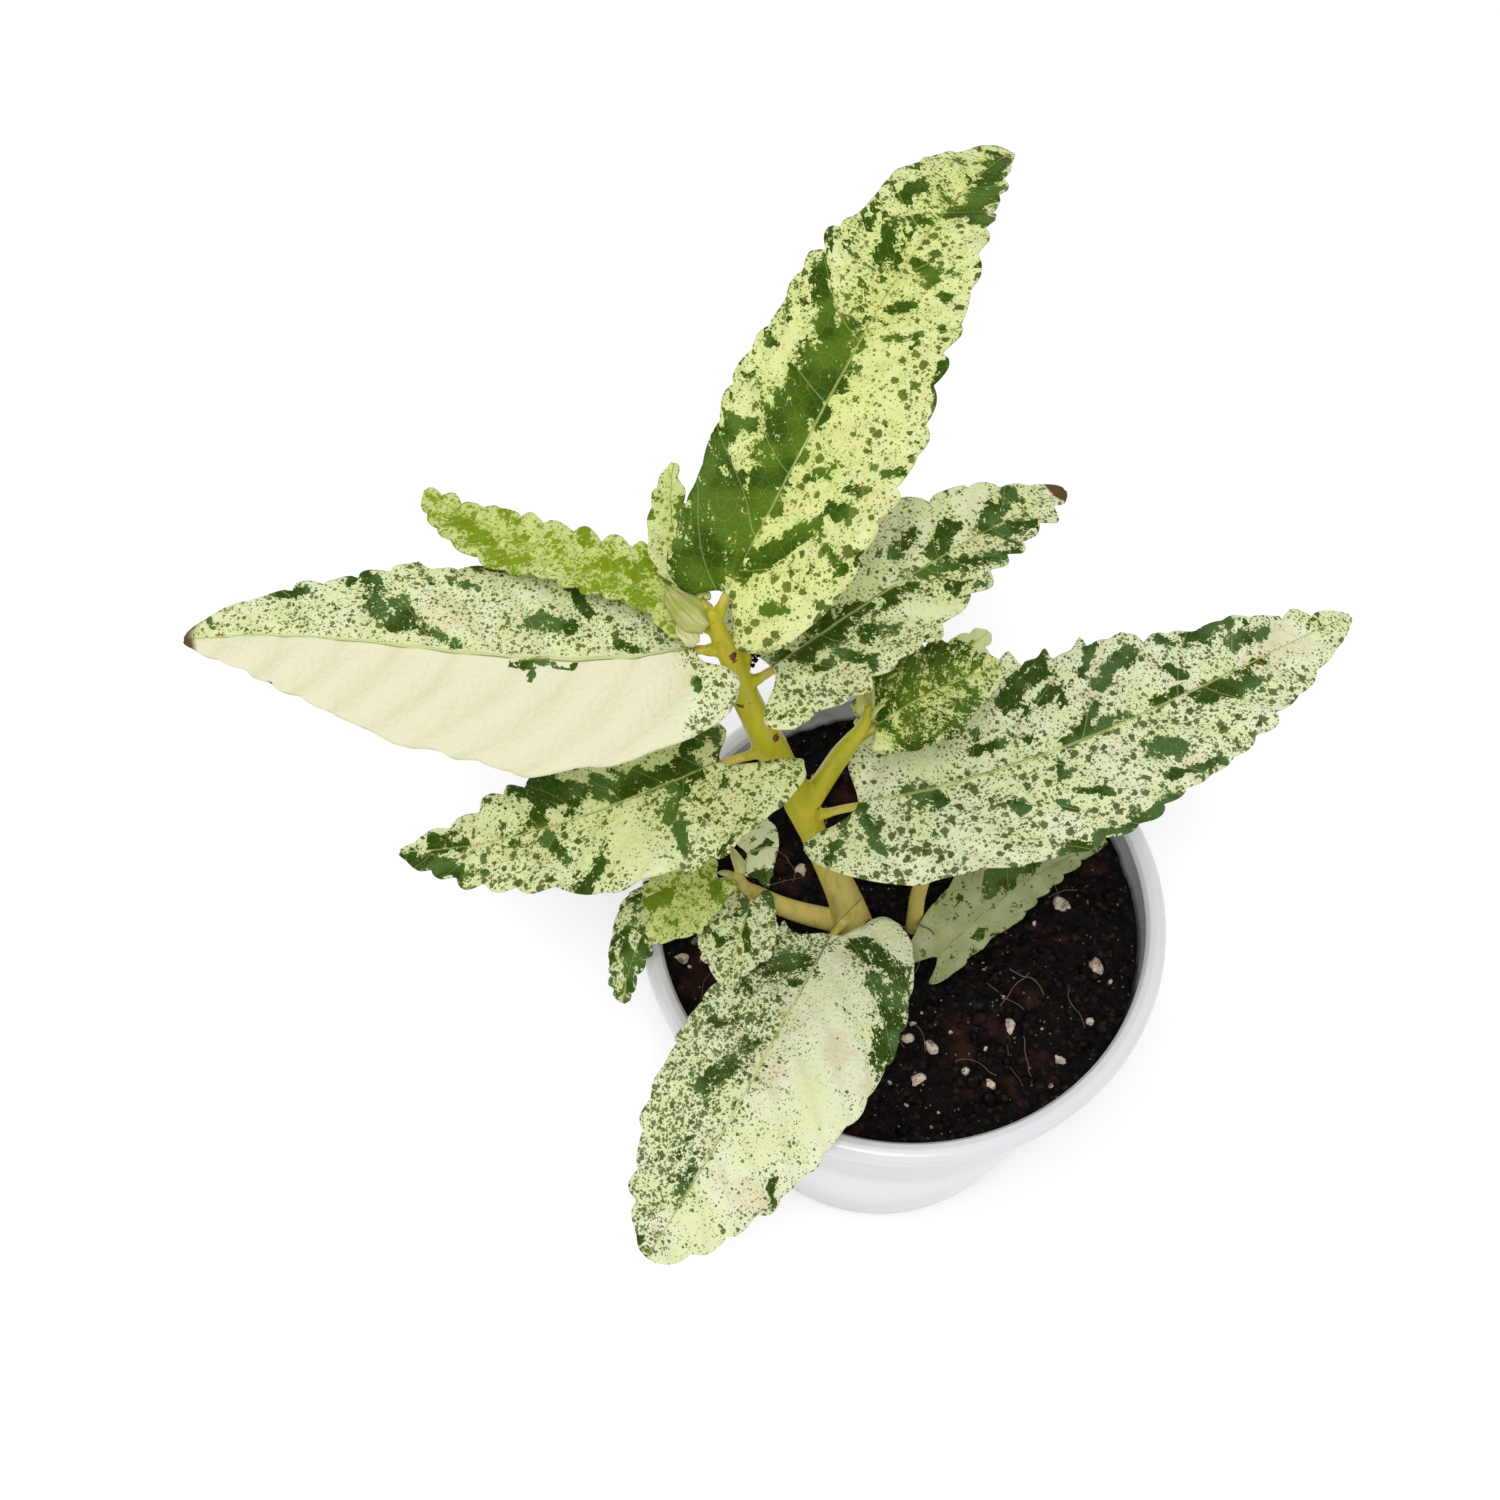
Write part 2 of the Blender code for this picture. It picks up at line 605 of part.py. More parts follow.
def main():
    clear_scene()
    parts = new_collection("potted_pellionia")
    cutters = new_collection("cutters")
    materials = {name: make_material(name) for name in COLOURS}

    build_pot(parts, cutters, materials["white_plastic"])
    build_soil(parts, materials["peat"])
    build_stem("stem", ("main", "left", "right", "stub"), (STEM_SIDES, SHOOT_SIDES, SHOOT_SIDES, 6),
               parts, materials["stem_green"])
    build_stem("second_stem", ("second",), (SHOOT_SIDES,), parts, materials["stem_green"])
    for name, spec in LEAVES.items():
        colour = LEAF_COLOUR.get(name, "leaf_variegated")
        build_leaf(name, spec, parts, materials[colour])


main()
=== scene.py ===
"""Looks of the potted pellionia: variegated leaves, juicy stems, crumbly peat and a glossy white pot.

Sizes are in millimetres until a mesh is made, with the origin at the middle of the pot's flat base.
"""

import math

import bmesh
import bpy
import numpy as np
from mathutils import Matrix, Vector, noise


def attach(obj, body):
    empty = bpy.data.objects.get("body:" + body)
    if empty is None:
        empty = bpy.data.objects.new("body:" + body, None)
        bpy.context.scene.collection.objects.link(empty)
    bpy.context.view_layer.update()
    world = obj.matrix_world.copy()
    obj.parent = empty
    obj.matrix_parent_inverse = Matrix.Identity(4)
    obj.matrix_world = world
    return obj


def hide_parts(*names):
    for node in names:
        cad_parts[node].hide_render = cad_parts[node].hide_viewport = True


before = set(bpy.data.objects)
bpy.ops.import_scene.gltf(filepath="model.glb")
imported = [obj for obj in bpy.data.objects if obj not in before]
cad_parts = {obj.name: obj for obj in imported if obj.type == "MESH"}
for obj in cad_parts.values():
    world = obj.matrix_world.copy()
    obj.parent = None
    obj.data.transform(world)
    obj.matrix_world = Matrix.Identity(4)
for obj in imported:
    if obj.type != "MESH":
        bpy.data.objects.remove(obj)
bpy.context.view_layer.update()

MM = 0.001

# Camera: its place, how far it looks down, and its lens on a 36 mm square picture
CAMERA_PLACE = (-26.0, -128.0, 360.0)
CAMERA_DOWN = 60.6
CAMERA_LENS = 43.2
CAMERA_SENSOR = 36.0

# Lamps: place, width and power, and what they aim at
LAMPS = {
    "key": ((-1050, 300, 1900), 900, 5.5),
    "front": ((-130, -640, 1800), 600, 14.6),
    "fill": ((950, -1050, 1300), 1200, 2.0),
}
LAMP_AIM = (-10, 0, 110)
SKY_STRENGTH = 0.70
STUDIO_HALF = 1500

# Pot, with its lip's section as steps from the rim's radius and from the top, and its corners as
# an inset and a height
POT_HEIGHT = 80.0
RIM_RADIUS = 45.0
LIP_DEPTH = 4.5
LIP = [(-3.5, -1.4), (-2.9, -0.4), (-1.9, 0.0), (-0.9, -0.2), (-0.2, -0.9), (0.0, -2.0),
       (-0.3, -LIP_DEPTH)]
WALL_TOP = POT_HEIGHT - LIP_DEPTH
WALL_TOP_RADIUS = RIM_RADIUS - 1.4
WALL_MIDDLE = 40.0
BASE_RADIUS = 32.0
BASE_CORNER = (0.9, 1.2)
FLOOR_CORNER = (0.6, 1.0)
WALL = 1.2
FLOOR = 1.6
POT_STEPS = 160
POT_EDGE = 0.25
ROUNDED_ABOVE = 25   # degrees between two faces
SHARP_ABOVE = 50
DRAIN_HOLES = 6
DRAIN_RADIUS = 2.8
DRAIN_RING = 20.0
DRAIN_MIDDLE = 12.0

# Soil, which climbs a little near the wall
SOIL_TOP = 72.0
SOIL_RADIUS = 41.2
SOIL_CLIMB = 0.6
CLIMB_START = 37
CLIMB_END = 41
SOIL_STEP = 0.36
SOIL_ANGLES = 560
SOIL_SHOULDER = (60.0, SOIL_RADIUS - 2.2)   # height and radius
SOIL_FOOT = 2.2

# The large grains of perlite: X, Y and radius, and how far they lie in the soil
LARGE_GRAINS = [
    (4.5, -23.0, 1.7), (2.0, -28.5, 1.5), (0.5, -21.5, 1.2), (18.0, -19.5, 1.6), (33.5, -8.5, 1.8),
    (28.5, 3.0, 1.7), (26.0, -25.0, 1.2), (-38.0, -7.0, 1.6), (-17.0, 10.0, 1.5), (14.0, -29.5, 1.1),
]
GRAIN_SINK = -0.25

RANDOM_SEED = 11

# Random lumps on the soil: how many, half the width they are drawn in, how far out they may reach,
# smallest size and range of sizes, how rare the large ones are, height shares and stretches
GRAINS = (90, 39, 39.5, 0.28, 0.75, 2.5, (-0.6, 0.0), (0.55, 1.0))
CRUMBS = (700, 40, 40.3, 0.3, 0.9, 2.0, (-0.3, 0.4), (0.6, 1.5))

# Random fibres on the soil, and half the width of the area that they start in
FIBRES = 46
FIBRE_AREA = 34
FIBRE_LIMIT = 39.5
FIBRE_POINTS = 7
FIBRE_STEP = 1.3
FIBRE_BEND = 0.5

# Stems: points of each centreline and the radius there
STEMS = {
    "main": {
        "points": [(-8, -2, 54), (-8, -2, 64), (-8, -2, 73), (-10, -0.5, 82.5), (-13, 0, 94),
                   (-16, 1, 104.5), (-18, 1.5, 113), (-20.5, 2, 121.5), (-23, 2.5, 129.5),
                   (-25.5, 3.5, 137.5), (-27, 3.5, 143.5), (-28.5, 4, 150.5), (-30, 4.5, 156),
                   (-31, 5, 161)],
        "radii": [3.2, 3.4, 3.6, 2.9, 2.4, 2.2, 2.7, 2.3, 2.6, 2.15, 2.1, 1.65, 1.4, 0.8],
    },
    "left": {
        "points": [(-10, -1.5, 75), (-16.5, -1.5, 78.5), (-21, -1.5, 82), (-24.5, -1, 85),
                   (-27, -1, 88.5), (-28, 0, 92)],
        "radii": [2.1, 1.9, 1.7, 1.5, 1.2, 0.8],
    },
    "right": {
        "points": [(-17, 2, 112), (-14.5, 3, 119), (-12.5, 3.5, 125), (-11, 4, 128.5),
                   (-9.4, 4.5, 132), (-8.8, 5.2, 136)],
        "radii": [1.8, 1.7, 1.6, 1.3, 1.0, 0.7],
    },
    "stub": {
        "points": [(-27.5, 4, 146), (-26.6, 5.2, 149), (-26.2, 6, 151.5)],
        "radii": [1.2, 1.0, 0.8],
    },
    "second": {
        "points": [(2.5, -1, 54), (2.5, -1, 66), (2.5, -1, 73), (2.5, 0.5, 80), (3, 1.5, 86),
                   (3.5, 2.5, 91)],
        "radii": [1.5, 1.5, 1.5, 1.4, 1.3, 0.8],
    },
}

# Brown scars on the stems: place and radius
SCARS = [
    ((-27.2, 2.2, 142.8), 1.1),
    ((-28.6, 3.4, 153.2), 1.0),
    ((-22.2, 1.6, 133.6), 0.9),
    ((-16.0, 1.2, 113.2), 1.1),
    ((-18.2, 0.2, 108.2), 1.0),
    ((-6.2, -2.6, 77.6), 1.2),
]

# Heights between which the stems turn from pale to green
PALE_BELOW = 88
GREEN_ABOVE = 112

# Leafstalks. Under the blade they have a share of its length, a depth and a radius, the last two
# in stalk radii, and are lifted a little
STALK_RADIUS = 0.85
STALK_RUN = [(0.02, 0.3, 0.72), (0.06, 0.42, 0.62), (0.12, 0.5, 0.5), (0.22, 0.45, 0.25)]
STALK_FREE = (0.8, 0.78)
STALK_LIFT = 0.05
STEM_GAP = 0.3
STEM_VOXEL = 0.3

# Blades: thickness under the midrib, its smallest share elsewhere, and how finely a blade is divided
MIDRIB_THICKNESS = 1.17
THIN_SHARE = 0.35
THICKNESS_LEVELS = 20
ROWS_PER_TOOTH = 12
CROWDING = 0.9       # below 1, a row's points lie closer together near the edge
GROOVE_DEPTH = 0.30
GROOVE_WIDTH = 0.5
SHOULDER_RISE = 0.35
SHOULDER_WIDTH = 2.5
LUMP_RISE = 0.35
PUCKER_RISE = 0.09
EDGE_SWING = 0.9
TOOTH_DEPTH = 1.7    # in tooth sizes
TOOTH_SLANT = 0.2    # in tooth lengths
HOOK_WIDTH = 0.9

# Sheaths at the nodes and buds on the shoots: foot, tip, half width, arch, bluntness, creaminess
SHEATHS = [
    ((-33.0, 2.4, 157.6), (-35.6, 4.6, 159.2), 1.4, 0.5, 4.0, 1.0),
    ((-31.4, 4.0, 159.6), (-37.2, 9.4, 160.9), 2.8, 0.5, 3.0, 0.0),
    ((-27.0, -0.8, 93.0), (-29.1, 2.3, 96.6), 1.2, 0.4, 1.6, 0.6),
    ((-28.3, -0.4, 91.2), (-31.0, -1.2, 94.6), 1.0, 0.3, 1.6, 0.2),
    ((-9.3, 4.9, 134.4), (-10.4, 6.6, 139.0), 1.1, 0.4, 1.6, 0.2),
    ((-8.6, 4.6, 134.4), (-7.0, 4.4, 138.4), 1.0, 0.4, 1.6, 0.4),
    ((-8.8, 5.6, 134.6), (-8.3, 8.4, 138.2), 0.9, 0.3, 1.6, 0.1),
    ((3.1, 2.2, 89.4), (1.6, 3.2, 94.0), 1.1, 0.4, 1.6, 0.2),
    ((3.9, 2.2, 89.4), (5.3, 1.5, 93.2), 1.0, 0.4, 1.6, 0.4),
    ((3.5, 2.9, 89.6), (4.0, 5.6, 93.0), 0.9, 0.3, 1.6, 0.1),
]
SHEATH_GRID = (16, 24)
SHEATH_THICKNESS = 0.12

# Where dark crumbs stick to the end of the stub, with their sizes
STUB_CRUMBS = [
    ((-25.5, 5.2, 150.6), 0.42),
    ((-25.3, 4.6, 149.9), 0.36),
    ((-24.9, 5.0, 150.5), 0.30),
    ((-25.6, 4.3, 149.1), 0.28),
    ((-25.9, 5.6, 151.3), 0.30),
]

# Loose roots and hairs: points of each and its radius
HAIRS = [
    ([(-7.2, -1.4, 84.5), (-9.8, -4.2, 85.0), (-12.9, -7.0, 83.6)], 0.07),
    ([(2.8, -3.4, 78.4), (5.0, -4.0, 77.0), (6.2, -5.2, 74.8), (6.4, -6.6, 73.0)], 0.16),
    ([(-24.0, -2.4, 91.0), (-20.5, 2.0, 84.0), (-16.9, 6.8, 75.5)], 0.08),
]


# Sizes of a leaf that are a pair of base and tip, or of its left and right half
PAIRS = ("heading", "pitch", "roll", "width", "fold", "lobes", "base", "peak", "fullness", "tooth",
         "quilt", "green", "speckle", "spots", "fleck", "ivory")


def leaf(**sizes):
    """A leaf's sizes in millimetres and degrees. One number stands for a pair of the same.

    The stem is its name and a point number on it, and the stalk its length, heading and pitch.
    """
    spec = {
        "turn": 0,         # how far the midrib curves sideways on its way
        "roll": 0,         # how far the blade leans to the side
        "fold": 0,         # how far each half is folded up
        "lobes": 1,        # how far each half reaches back behind the blade's base
        "base": 0.55,      # width of each half at its base, as a share
        "peak": 0.42,      # where each half is widest, as a share of the length
        "fullness": 0.75,  # a full outline has a small number
        "teeth": 8,        # in each half
        "tooth": 0.4,
        "waves": 3,        # along each edge
        "wave": 0.5,
        "columns": 32,     # strips that each half is divided in
        "laterals": 6,     # side veins in each half
        "quilt": 0.25,     # how far each half bulges between them
        "green": -0.8,     # how much of each half is green outside the patches, -1 to 1
        "speckle": 1.3,    # how thickly each half is speckled
        "spots": 0.5,      # how thickly it is spotted with larger dots
        "fleck": 0.3,      # how much cream breaks into the green patches
        "ivory": 0.0,      # how even and ivory the pale ground is
        "blend": 1.6,      # how far the two halves' markings run into each other
        "haze": 0.0,       # painted shade: a greyed darker green over a leaf low in the plant
        "warm": 0.3,       # from cool white to yellow cream, partly painted light let through from behind
        "fresh": 0.0,      # yellow-green of a young leaf
        "tip": 0.0,        # how brown and dry the tip is
        "hooks": (),       # single larger teeth: share, side and size
        "patches": (),     # green strokes: share and side of both ends in per cent, half width
        "bare": (),        # the same for pale areas
        "dusty": (),       # the same for thickly speckled areas
    }
    spec.update(sizes)
    for key in PAIRS:
        if not isinstance(spec[key], tuple):
            spec[key] = (spec[key], spec[key])
    return spec


LEAVES = {
    "leaf_top": leaf(
        stem=("main", 12.6), stalk=(2, 62, 37), heading=(53, 52), turn=9, pitch=(38, -17), length=82.5,
        width=(11.5, 14.5), fold=(12, 5), roll=(-1, -4), lobes=(2.5, 5.5), peak=(0.36, 0.22),
        fullness=(0.45, 0.8), teeth=17, tooth=(1.05, 0.6), waves=4, wave=0.8, laterals=8, quilt=(0.35, 0.3),
        green=(-0.45, -0.95), speckle=(1.3, 1.05), spots=(0.7, 1.2), fleck=(0.3, 0.4), warm=0.85,
        patches=[
            (0, 68, 18, 83, 2.3), (0, 29, 17, 55, 2.2), (5, 7, 25, 33, 2.0), (16, 12, 45, 24, 3.3),
            (45, 45, 54, 80, 1.3), (18, 99, 25, 74, 1.4), (4, -9, 17, -46, 1.5), (96, -7, 78, -60, 1.9),
            (77, -21, 76, -89, 1.5), (64, -10, 61, -50, 0.9), (53, -12, 55, -35, 0.7),
            (59, -68, 59, -70, 0.9), (50, -54, 48, -30, 0.8), (46, -100, 41, -100, 0.8),
            (23, -22, 24, -34, 0.8), (28, -81, 29, -94, 0.8), (20, -56, 21, -60, 1.0),
            (5, -47, 7, -62, 0.8), (62, 33, 66, 44, 1.2), (16, -65, 15, -85, 0.7), (75, 62, 79, 55, 0.9)],
        bare=[(21, 69, 29, 80, 0.7), (35, 65, 46, 80, 0.9), (10, 80, 14, 70, 0.6)]),
    "leaf_upper_right": leaf(
        stem=("main", 10.1), stalk=(2.6, 12, 38), heading=(36, 34), turn=1, pitch=(7, -7), length=53.2,
        width=(13.5, 9.5), roll=(2, 0), lobes=(2, 6), peak=(0.28, 0.22), fullness=(0.75, 0.7), teeth=12,
        tooth=(0.6, 1.0), wave=0.7, laterals=8, quilt=0.3, green=(-1.15, -0.75), speckle=(1.15, 1.5),
        base=(0.9, 0.95), spots=(0.5, 0.7), fleck=0.6, tip=1.0,
        patches=[
            (46, 31, 53, 45, 1.3), (56, 14, 64, 36, 1.5), (73, 6, 85, 69, 1.6), (73, -15, 84, -71, 1.0),
            (48, -1, 59, -35, 1.2), (60, -46, 73, -100, 1.1), (36, -1, 44, -16, 0.9), (19, 3, 30, -2, 1.4),
            (32, -20, 37, -16, 0.9), (13, 16, 21, 14, 1.2), (11, -1, 20, -9, 1.4), (1, 7, 11, -17, 0.9),
            (18, -39, 23, -80, 1.0), (26, -42, 32, -56, 0.9), (12, -38, 16, -47, 0.6),
            (51, -59, 52, -69, 0.7)],
        bare=[(39, -49, 50, -93, 1.3), (72, 54, 77, 79, 1.3)]),
    "leaf_upper_left": leaf(
        stem=("main", 11.4), stalk=(2.2, 190, 20), heading=(197, 185), turn=-20, pitch=(3, -7), length=70.5,
        width=(15, 15.5), fold=(-18, -7), lobes=(5, 3), peak=(0.3, 0.32), fullness=(0.8, 0.7), teeth=15,
        tooth=(0.12, 0.6), laterals=8, quilt=(1.2, 0.3), green=(-2.2, -0.9), speckle=(-1.0, 1.25),
        spots=(-1.2, 0.7), fleck=(0.2, 0.6), ivory=(0.9, 0.1), blend=0.2, tip=0.6, hooks=[(0.58, -1, 1.4)],
        dusty=[(0, 15, 0, 100, 3.0), (4, 60, 6, 100, 2.4)],
        patches=[
            (84, -100, 79, -85, 0.7), (71, -85, 70, -96, 0.9), (67, -95, 65, -70, 1.5),
            (64, -44, 58, -25, 1.2), (59, -47, 56, -25, 1.5), (55, -27, 47, -9, 0.9),
            (58, -100, 55, -81, 0.6), (52, -89, 47, -76, 0.8), (25, -80, 21, -52, 1.1),
            (32, -45, 25, -35, 1.5), (34, 5, 22, 5, 0.7), (31, 21, 30, 14, 0.5), (15, -20, 9, -9, 0.8),
            (3, 34, 5, 52, 0.5), (46, -100, 40, -100, 0.7)]),
    "leaf_lower_left": leaf(
        stem=("main", 7.9), stalk=(4.8, 202, 9), heading=(206, 171), turn=7, pitch=(0, -16), length=49.5,
        width=(13, 11), roll=(-1, 3), lobes=(11, 3), peak=(0.24, 0.26), fullness=(0.8, 0.85), teeth=11,
        tooth=0.7, waves=4, wave=0.8, laterals=7, quilt=0.3, green=(-0.8, -0.6), speckle=(1.4, 1.1),
        spots=(0.9, 0.7), fleck=0.4, warm=0.45,
        patches=[
            (36, -35, 9, -7, 1.6), (32, -6, 24, -15, 1.1), (60, -94, 43, -32, 1.9), (55, -56, 55, -4, 1.4),
            (89, -26, 79, -5, 1.0), (96, 53, 80, 86, 1.3), (75, 65, 74, 73, 0.7), (55, 20, 53, 49, 1.3),
            (48, 90, 43, 65, 1.1), (15, 12, 15, 15, 1.7), (21, 29, 25, 86, 0.9), (9, -32, 4, -59, 1.3),
            (2, -54, 0, -12, 0.8), (4, 19, 8, 33, 0.8)],
        bare=[(46, 55, 45, 58, 1.4), (34, 33, 34, 88, 2.4)]),
    "leaf_right": leaf(
        stem=("main", 5.5), stalk=(6.5, -7, 38), heading=(3, 29), turn=9, pitch=(12, -7), length=87,
        width=(17, 16), lobes=(1, 9), peak=(0.24, 0.3), fullness=(0.8, 0.7), teeth=18, tooth=(0.9, 0.45),
        waves=4, wave=0.9, laterals=9, quilt=0.35, green=(-0.95, -1.1), speckle=(1.3, 1.35),
        spots=(0.75, 1.15), warm=0.12,
        hooks=[(0.43, 1, 1.6), (0.5, 1, 1.9), (0.57, 1, 1.3), (0.35, 1, 0.9)],
        patches=[
            (32, 59, 42, 100, 2.3), (38, 53, 41, 62, 1.0), (39, 1, 51, 9, 1.0), (24, 41, 24, 42, 1.1),
            (22, 24, 28, 23, 0.9), (12, 3, 15, -17, 1.1), (9, 4, 12, -12, 1.0), (1, -11, 8, -54, 1.1),
            (0, -24, 3, -74, 0.8), (26, -36, 27, -46, 1.1), (33, -50, 35, -61, 0.8),
            (36, -11, 36, -26, 0.8), (37, -49, 41, -61, 0.8), (49, 51, 57, 78, 1.3), (48, 68, 52, 96, 0.9),
            (63, 46, 64, 25, 0.9), (57, 5, 62, 9, 0.9), (65, 89, 66, 80, 1.3), (69, 80, 78, 100, 1.3),
            (76, 48, 83, 65, 1.2), (77, -1, 79, -10, 0.7), (65, -14, 74, -30, 2.0), (52, -41, 55, -52, 2.1),
            (50, -75, 58, -91, 1.1), (56, -88, 60, -90, 1.1), (30, -97, 50, -100, 0.9),
            (43, 12, 47, 30, 0.8), (30, 30, 33, 20, 0.7)],
        bare=[(9, 51, 14, 31, 2.5), (86, 12, 87, -25, 2.9)]),
    "leaf_front": leaf(
        stem=("main", 2.5), stalk=(4, 239, 33), heading=(245, 230), turn=3, pitch=(21, -38), length=62.5,
        width=(17.5, 13.5), roll=(2, -2), lobes=(8.5, -3), peak=(0.3, 0.48), fullness=(0.6, 0.65), teeth=13,
        tooth=(0.5, 0.6), wave=0.8, laterals=8, quilt=(0.25, 0.3), green=(-1.2, -0.85), speckle=(0.9, 1.8),
        spots=(0.35, 0.6), fleck=(0.8, 1.0), blend=3.5, warm=0.1,
        patches=[
            (16, -70, 12, -22, 2.6), (19, -19, 18, -7, 1.0), (6, 36, 11, 78, 2.6), (11, 78, 30, 100, 3.0),
            (15, 62, 19, 90, 2.4), (54, -45, 40, -20, 1.9), (37, -86, 36, -57, 1.0),
            (25, -74, 26, -59, 0.8), (23, 44, 23, 48, 0.6), (75, -15, 83, -3, 1.3), (66, 81, 70, 95, 0.7),
            (97, -91, 98, -74, 0.6)],
        bare=[(21, 20, 37, 70, 3.0), (0, 20, 1, 60, 1.6), (42, 39, 49, 88, 2.8)]),
    "leaf_inner_right": leaf(
        stem=("right", 2.95), stalk=(1.6, 25, 17), heading=(32, 20), turn=2, pitch=(12, -9), length=22,
        width=(8, 7), lobes=(1.5, 2.5), peak=(0.42, 0.36), green=(0.5, 0.3), speckle=1.2, fleck=1.0,
        warm=0.8, tooth=0.5, columns=20,
        patches=[(23, 40, 44, 60, 1.9), (22, -7, 18, -86, 1.5), (13, 74, 7, 38, 1.1), (62, 78, 65, 4, 1.6)],
        bare=[(0, -49, 2, -62, 1.5)]),
    "leaf_behind_right": leaf(
        stem=("right", 1.9), stalk=(4, 40, 4), heading=(45, 43), pitch=(0, -3), length=26.5, width=4,
        green=-1.1, speckle=0.1, fresh=0.55, warm=0.6, columns=14,
        patches=[(86, 10, 70, 50, 0.5), (80, -50, 70, -70, 0.4)]),
    "leaf_upper_back": leaf(
        stem=("main", 12.2), stalk=(3.6, 162, 5), heading=(138, 131), turn=18, pitch=(2, -11), length=44.5,
        width=5, peak=(0.64, 0.28), fullness=(0.75, 0.85), teeth=12, tooth=(0.6, 0.75), laterals=8,
        green=(-0.7, -0.8), speckle=(1.5, 1.3), spots=(1.0, 0.9), fleck=(1.0, 0.9), fresh=0.6, warm=1.0,
        lobes=2, columns=20,
        patches=[
            (82, 45, 55, 70, 1.4), (35, -10, 20, -50, 0.9), (30, 50, 12, 40, 0.8), (20, -90, 5, -50, 1.2),
            (42, -95, 37, -70, 0.8), (70, -90, 62, -60, 0.7)]),
    "leaf_young": leaf(
        stem=("main", 12.9), stalk=(2.6, 120, -13), heading=(120, 80), pitch=(0, 16), length=21.5,
        width=(3, 1.8), teeth=6, wave=0.3, speckle=1.0, spots=(0.6, 0.8), fresh=0.3, warm=0.9, columns=12,
        patches=[
            (75, -90, 55, -60, 0.5), (30, -100, 25, -80, 0.7), (42, -100, 40, -85, 0.6),
            (60, 90, 66, 100, 0.4)]),
    "leaf_low_right": leaf(
        stem=("second", 2.1), stalk=(6.6, 297, 10), heading=(45, 22), turn=1, pitch=(14, -1), length=36.5,
        width=(8, 4), lobes=(4, 4.5), peak=(0.38, 0.26), teeth=10, tooth=0.3, wave=0.4, green=-0.7,
        speckle=0.5, haze=0.85, columns=20,
        patches=[(22, -45, 24, -50, 1.0), (47, 38, 64, 45, 1.7)]),
    "leaf_side_round": leaf(
        stem=("left", 4.8), stalk=(2, 57, 26), heading=(20, -4), pitch=(30, 0), length=5, width=(6.5, 6),
        lobes=(1, 2), teeth=5, tooth=0.15, wave=0.2, laterals=4, quilt=0.1, green=-0.6, speckle=0.3,
        columns=16,
        patches=[(12, -100, 73, -100, 1.5), (24, -10, 72, 11, 0.7)]),
    "leaf_side_left": leaf(
        stem=("left", 4.65), stalk=(2.8, 203, 27), heading=(216, 229), turn=4, pitch=(9, -16), length=15,
        width=(4.5, 6.5), peak=(0.4, 0.44), fullness=(0.7, 0.75), teeth=6, wave=0.3, green=-0.7, spots=0.9,
        fresh=0.4, warm=1.0, columns=16, lobes=2,
        patches=[(67, -61, 50, -46, 1.3), (12, 34, 18, 100, 1.1)]),
    "leaf_side_droop": leaf(
        stem=("left", 3.9), stalk=(8, 181, 11), heading=(223, 250), turn=5, pitch=(0, -59), length=23.5,
        width=(2, 5), peak=(0.42, 0.38), wave=0.3, green=0.05, speckle=1.6, warm=0.4, columns=16,
        patches=[(49, -59, 83, 73, 0.8)]),
    "leaf_side_front": leaf(
        stem=("left", 3.65), stalk=(2.1, 274, 34), heading=(260, 245), pitch=(6, -18), length=14.5,
        width=(5, 6.5), lobes=(2.5, 2), peak=(0.36, 0.44), teeth=6, wave=0.3, speckle=1.5, spots=1.0,
        columns=16,
        patches=[(6, -24, 55, 35, 0.7), (53, -59, 55, -51, 1.0), (3, 60, 6, 100, 1.2)]),
}

LEAF_SLOT = {
    "leaf_upper_left": "leaf_cream",
    "leaf_front": "leaf_cream",
    "leaf_upper_back": "leaf_fresh",
    "leaf_young": "leaf_fresh",
    "leaf_side_left": "leaf_fresh",
    "leaf_side_round": "leaf_cream",
}


# Helpers for meshes

def add_object(name, data):
    """A new object in the scene that holds a mesh, a lamp or a camera."""
    item = bpy.data.objects.new(name, data)
    bpy.context.scene.collection.objects.link(item)
    return item


def add_mesh(name, points, faces):
    """An object from points in millimetres and faces."""
    mesh = bpy.data.meshes.new(name)
    mesh.from_pydata((np.asarray(points) * MM).tolist(), [], faces)
    mesh.update()
    mesh.shade_smooth()
    return add_object(name, mesh)


def points_of(item):
    """The points of a mesh object in millimetres."""
    return np.array([vert.co for vert in item.data.vertices]) / MM


def add_values(item, name, values):
    """Stores a number or a vector for each point of a mesh, for its material to read."""
    values = np.asarray(values, np.float32)
    kind = "FLOAT_VECTOR" if values.ndim == 2 else "FLOAT"
    layer = item.data.attributes.new(name, kind, "POINT")
    layer.data.foreach_set("vector" if values.ndim == 2 else "value", values.ravel())


def bake(item):
    """Replaces an object's mesh by the one its modifiers give."""
    bpy.context.view_layer.update()
    evaluated = item.evaluated_get(bpy.context.evaluated_depsgraph_get())
    mesh = bpy.data.meshes.new_from_object(evaluated)
    item.modifiers.clear()
    old = item.data
    item.data = mesh
    bpy.data.meshes.remove(old)
    mesh.name = item.name


def sheet_grid(rows, columns):
    """Shares along and places across, from -1 to 1, of a grid's points, and its quads."""
    share, across = np.meshgrid(np.linspace(0, 1, rows + 1), np.linspace(-1, 1, columns + 1),
                                indexing="ij")
    first = (np.arange(rows)[:, None] * (columns + 1) + np.arange(columns)).ravel()
    faces = np.stack([first, first + columns + 1, first + columns + 2, first + 1], 1).tolist()
    return share.ravel(), across.ravel(), faces


def between(value, values, rows):
    """The row, or rows, for a value that may lie between the given values."""
    return np.stack([np.interp(value, values, column) for column in np.asarray(rows).T], axis=-1)


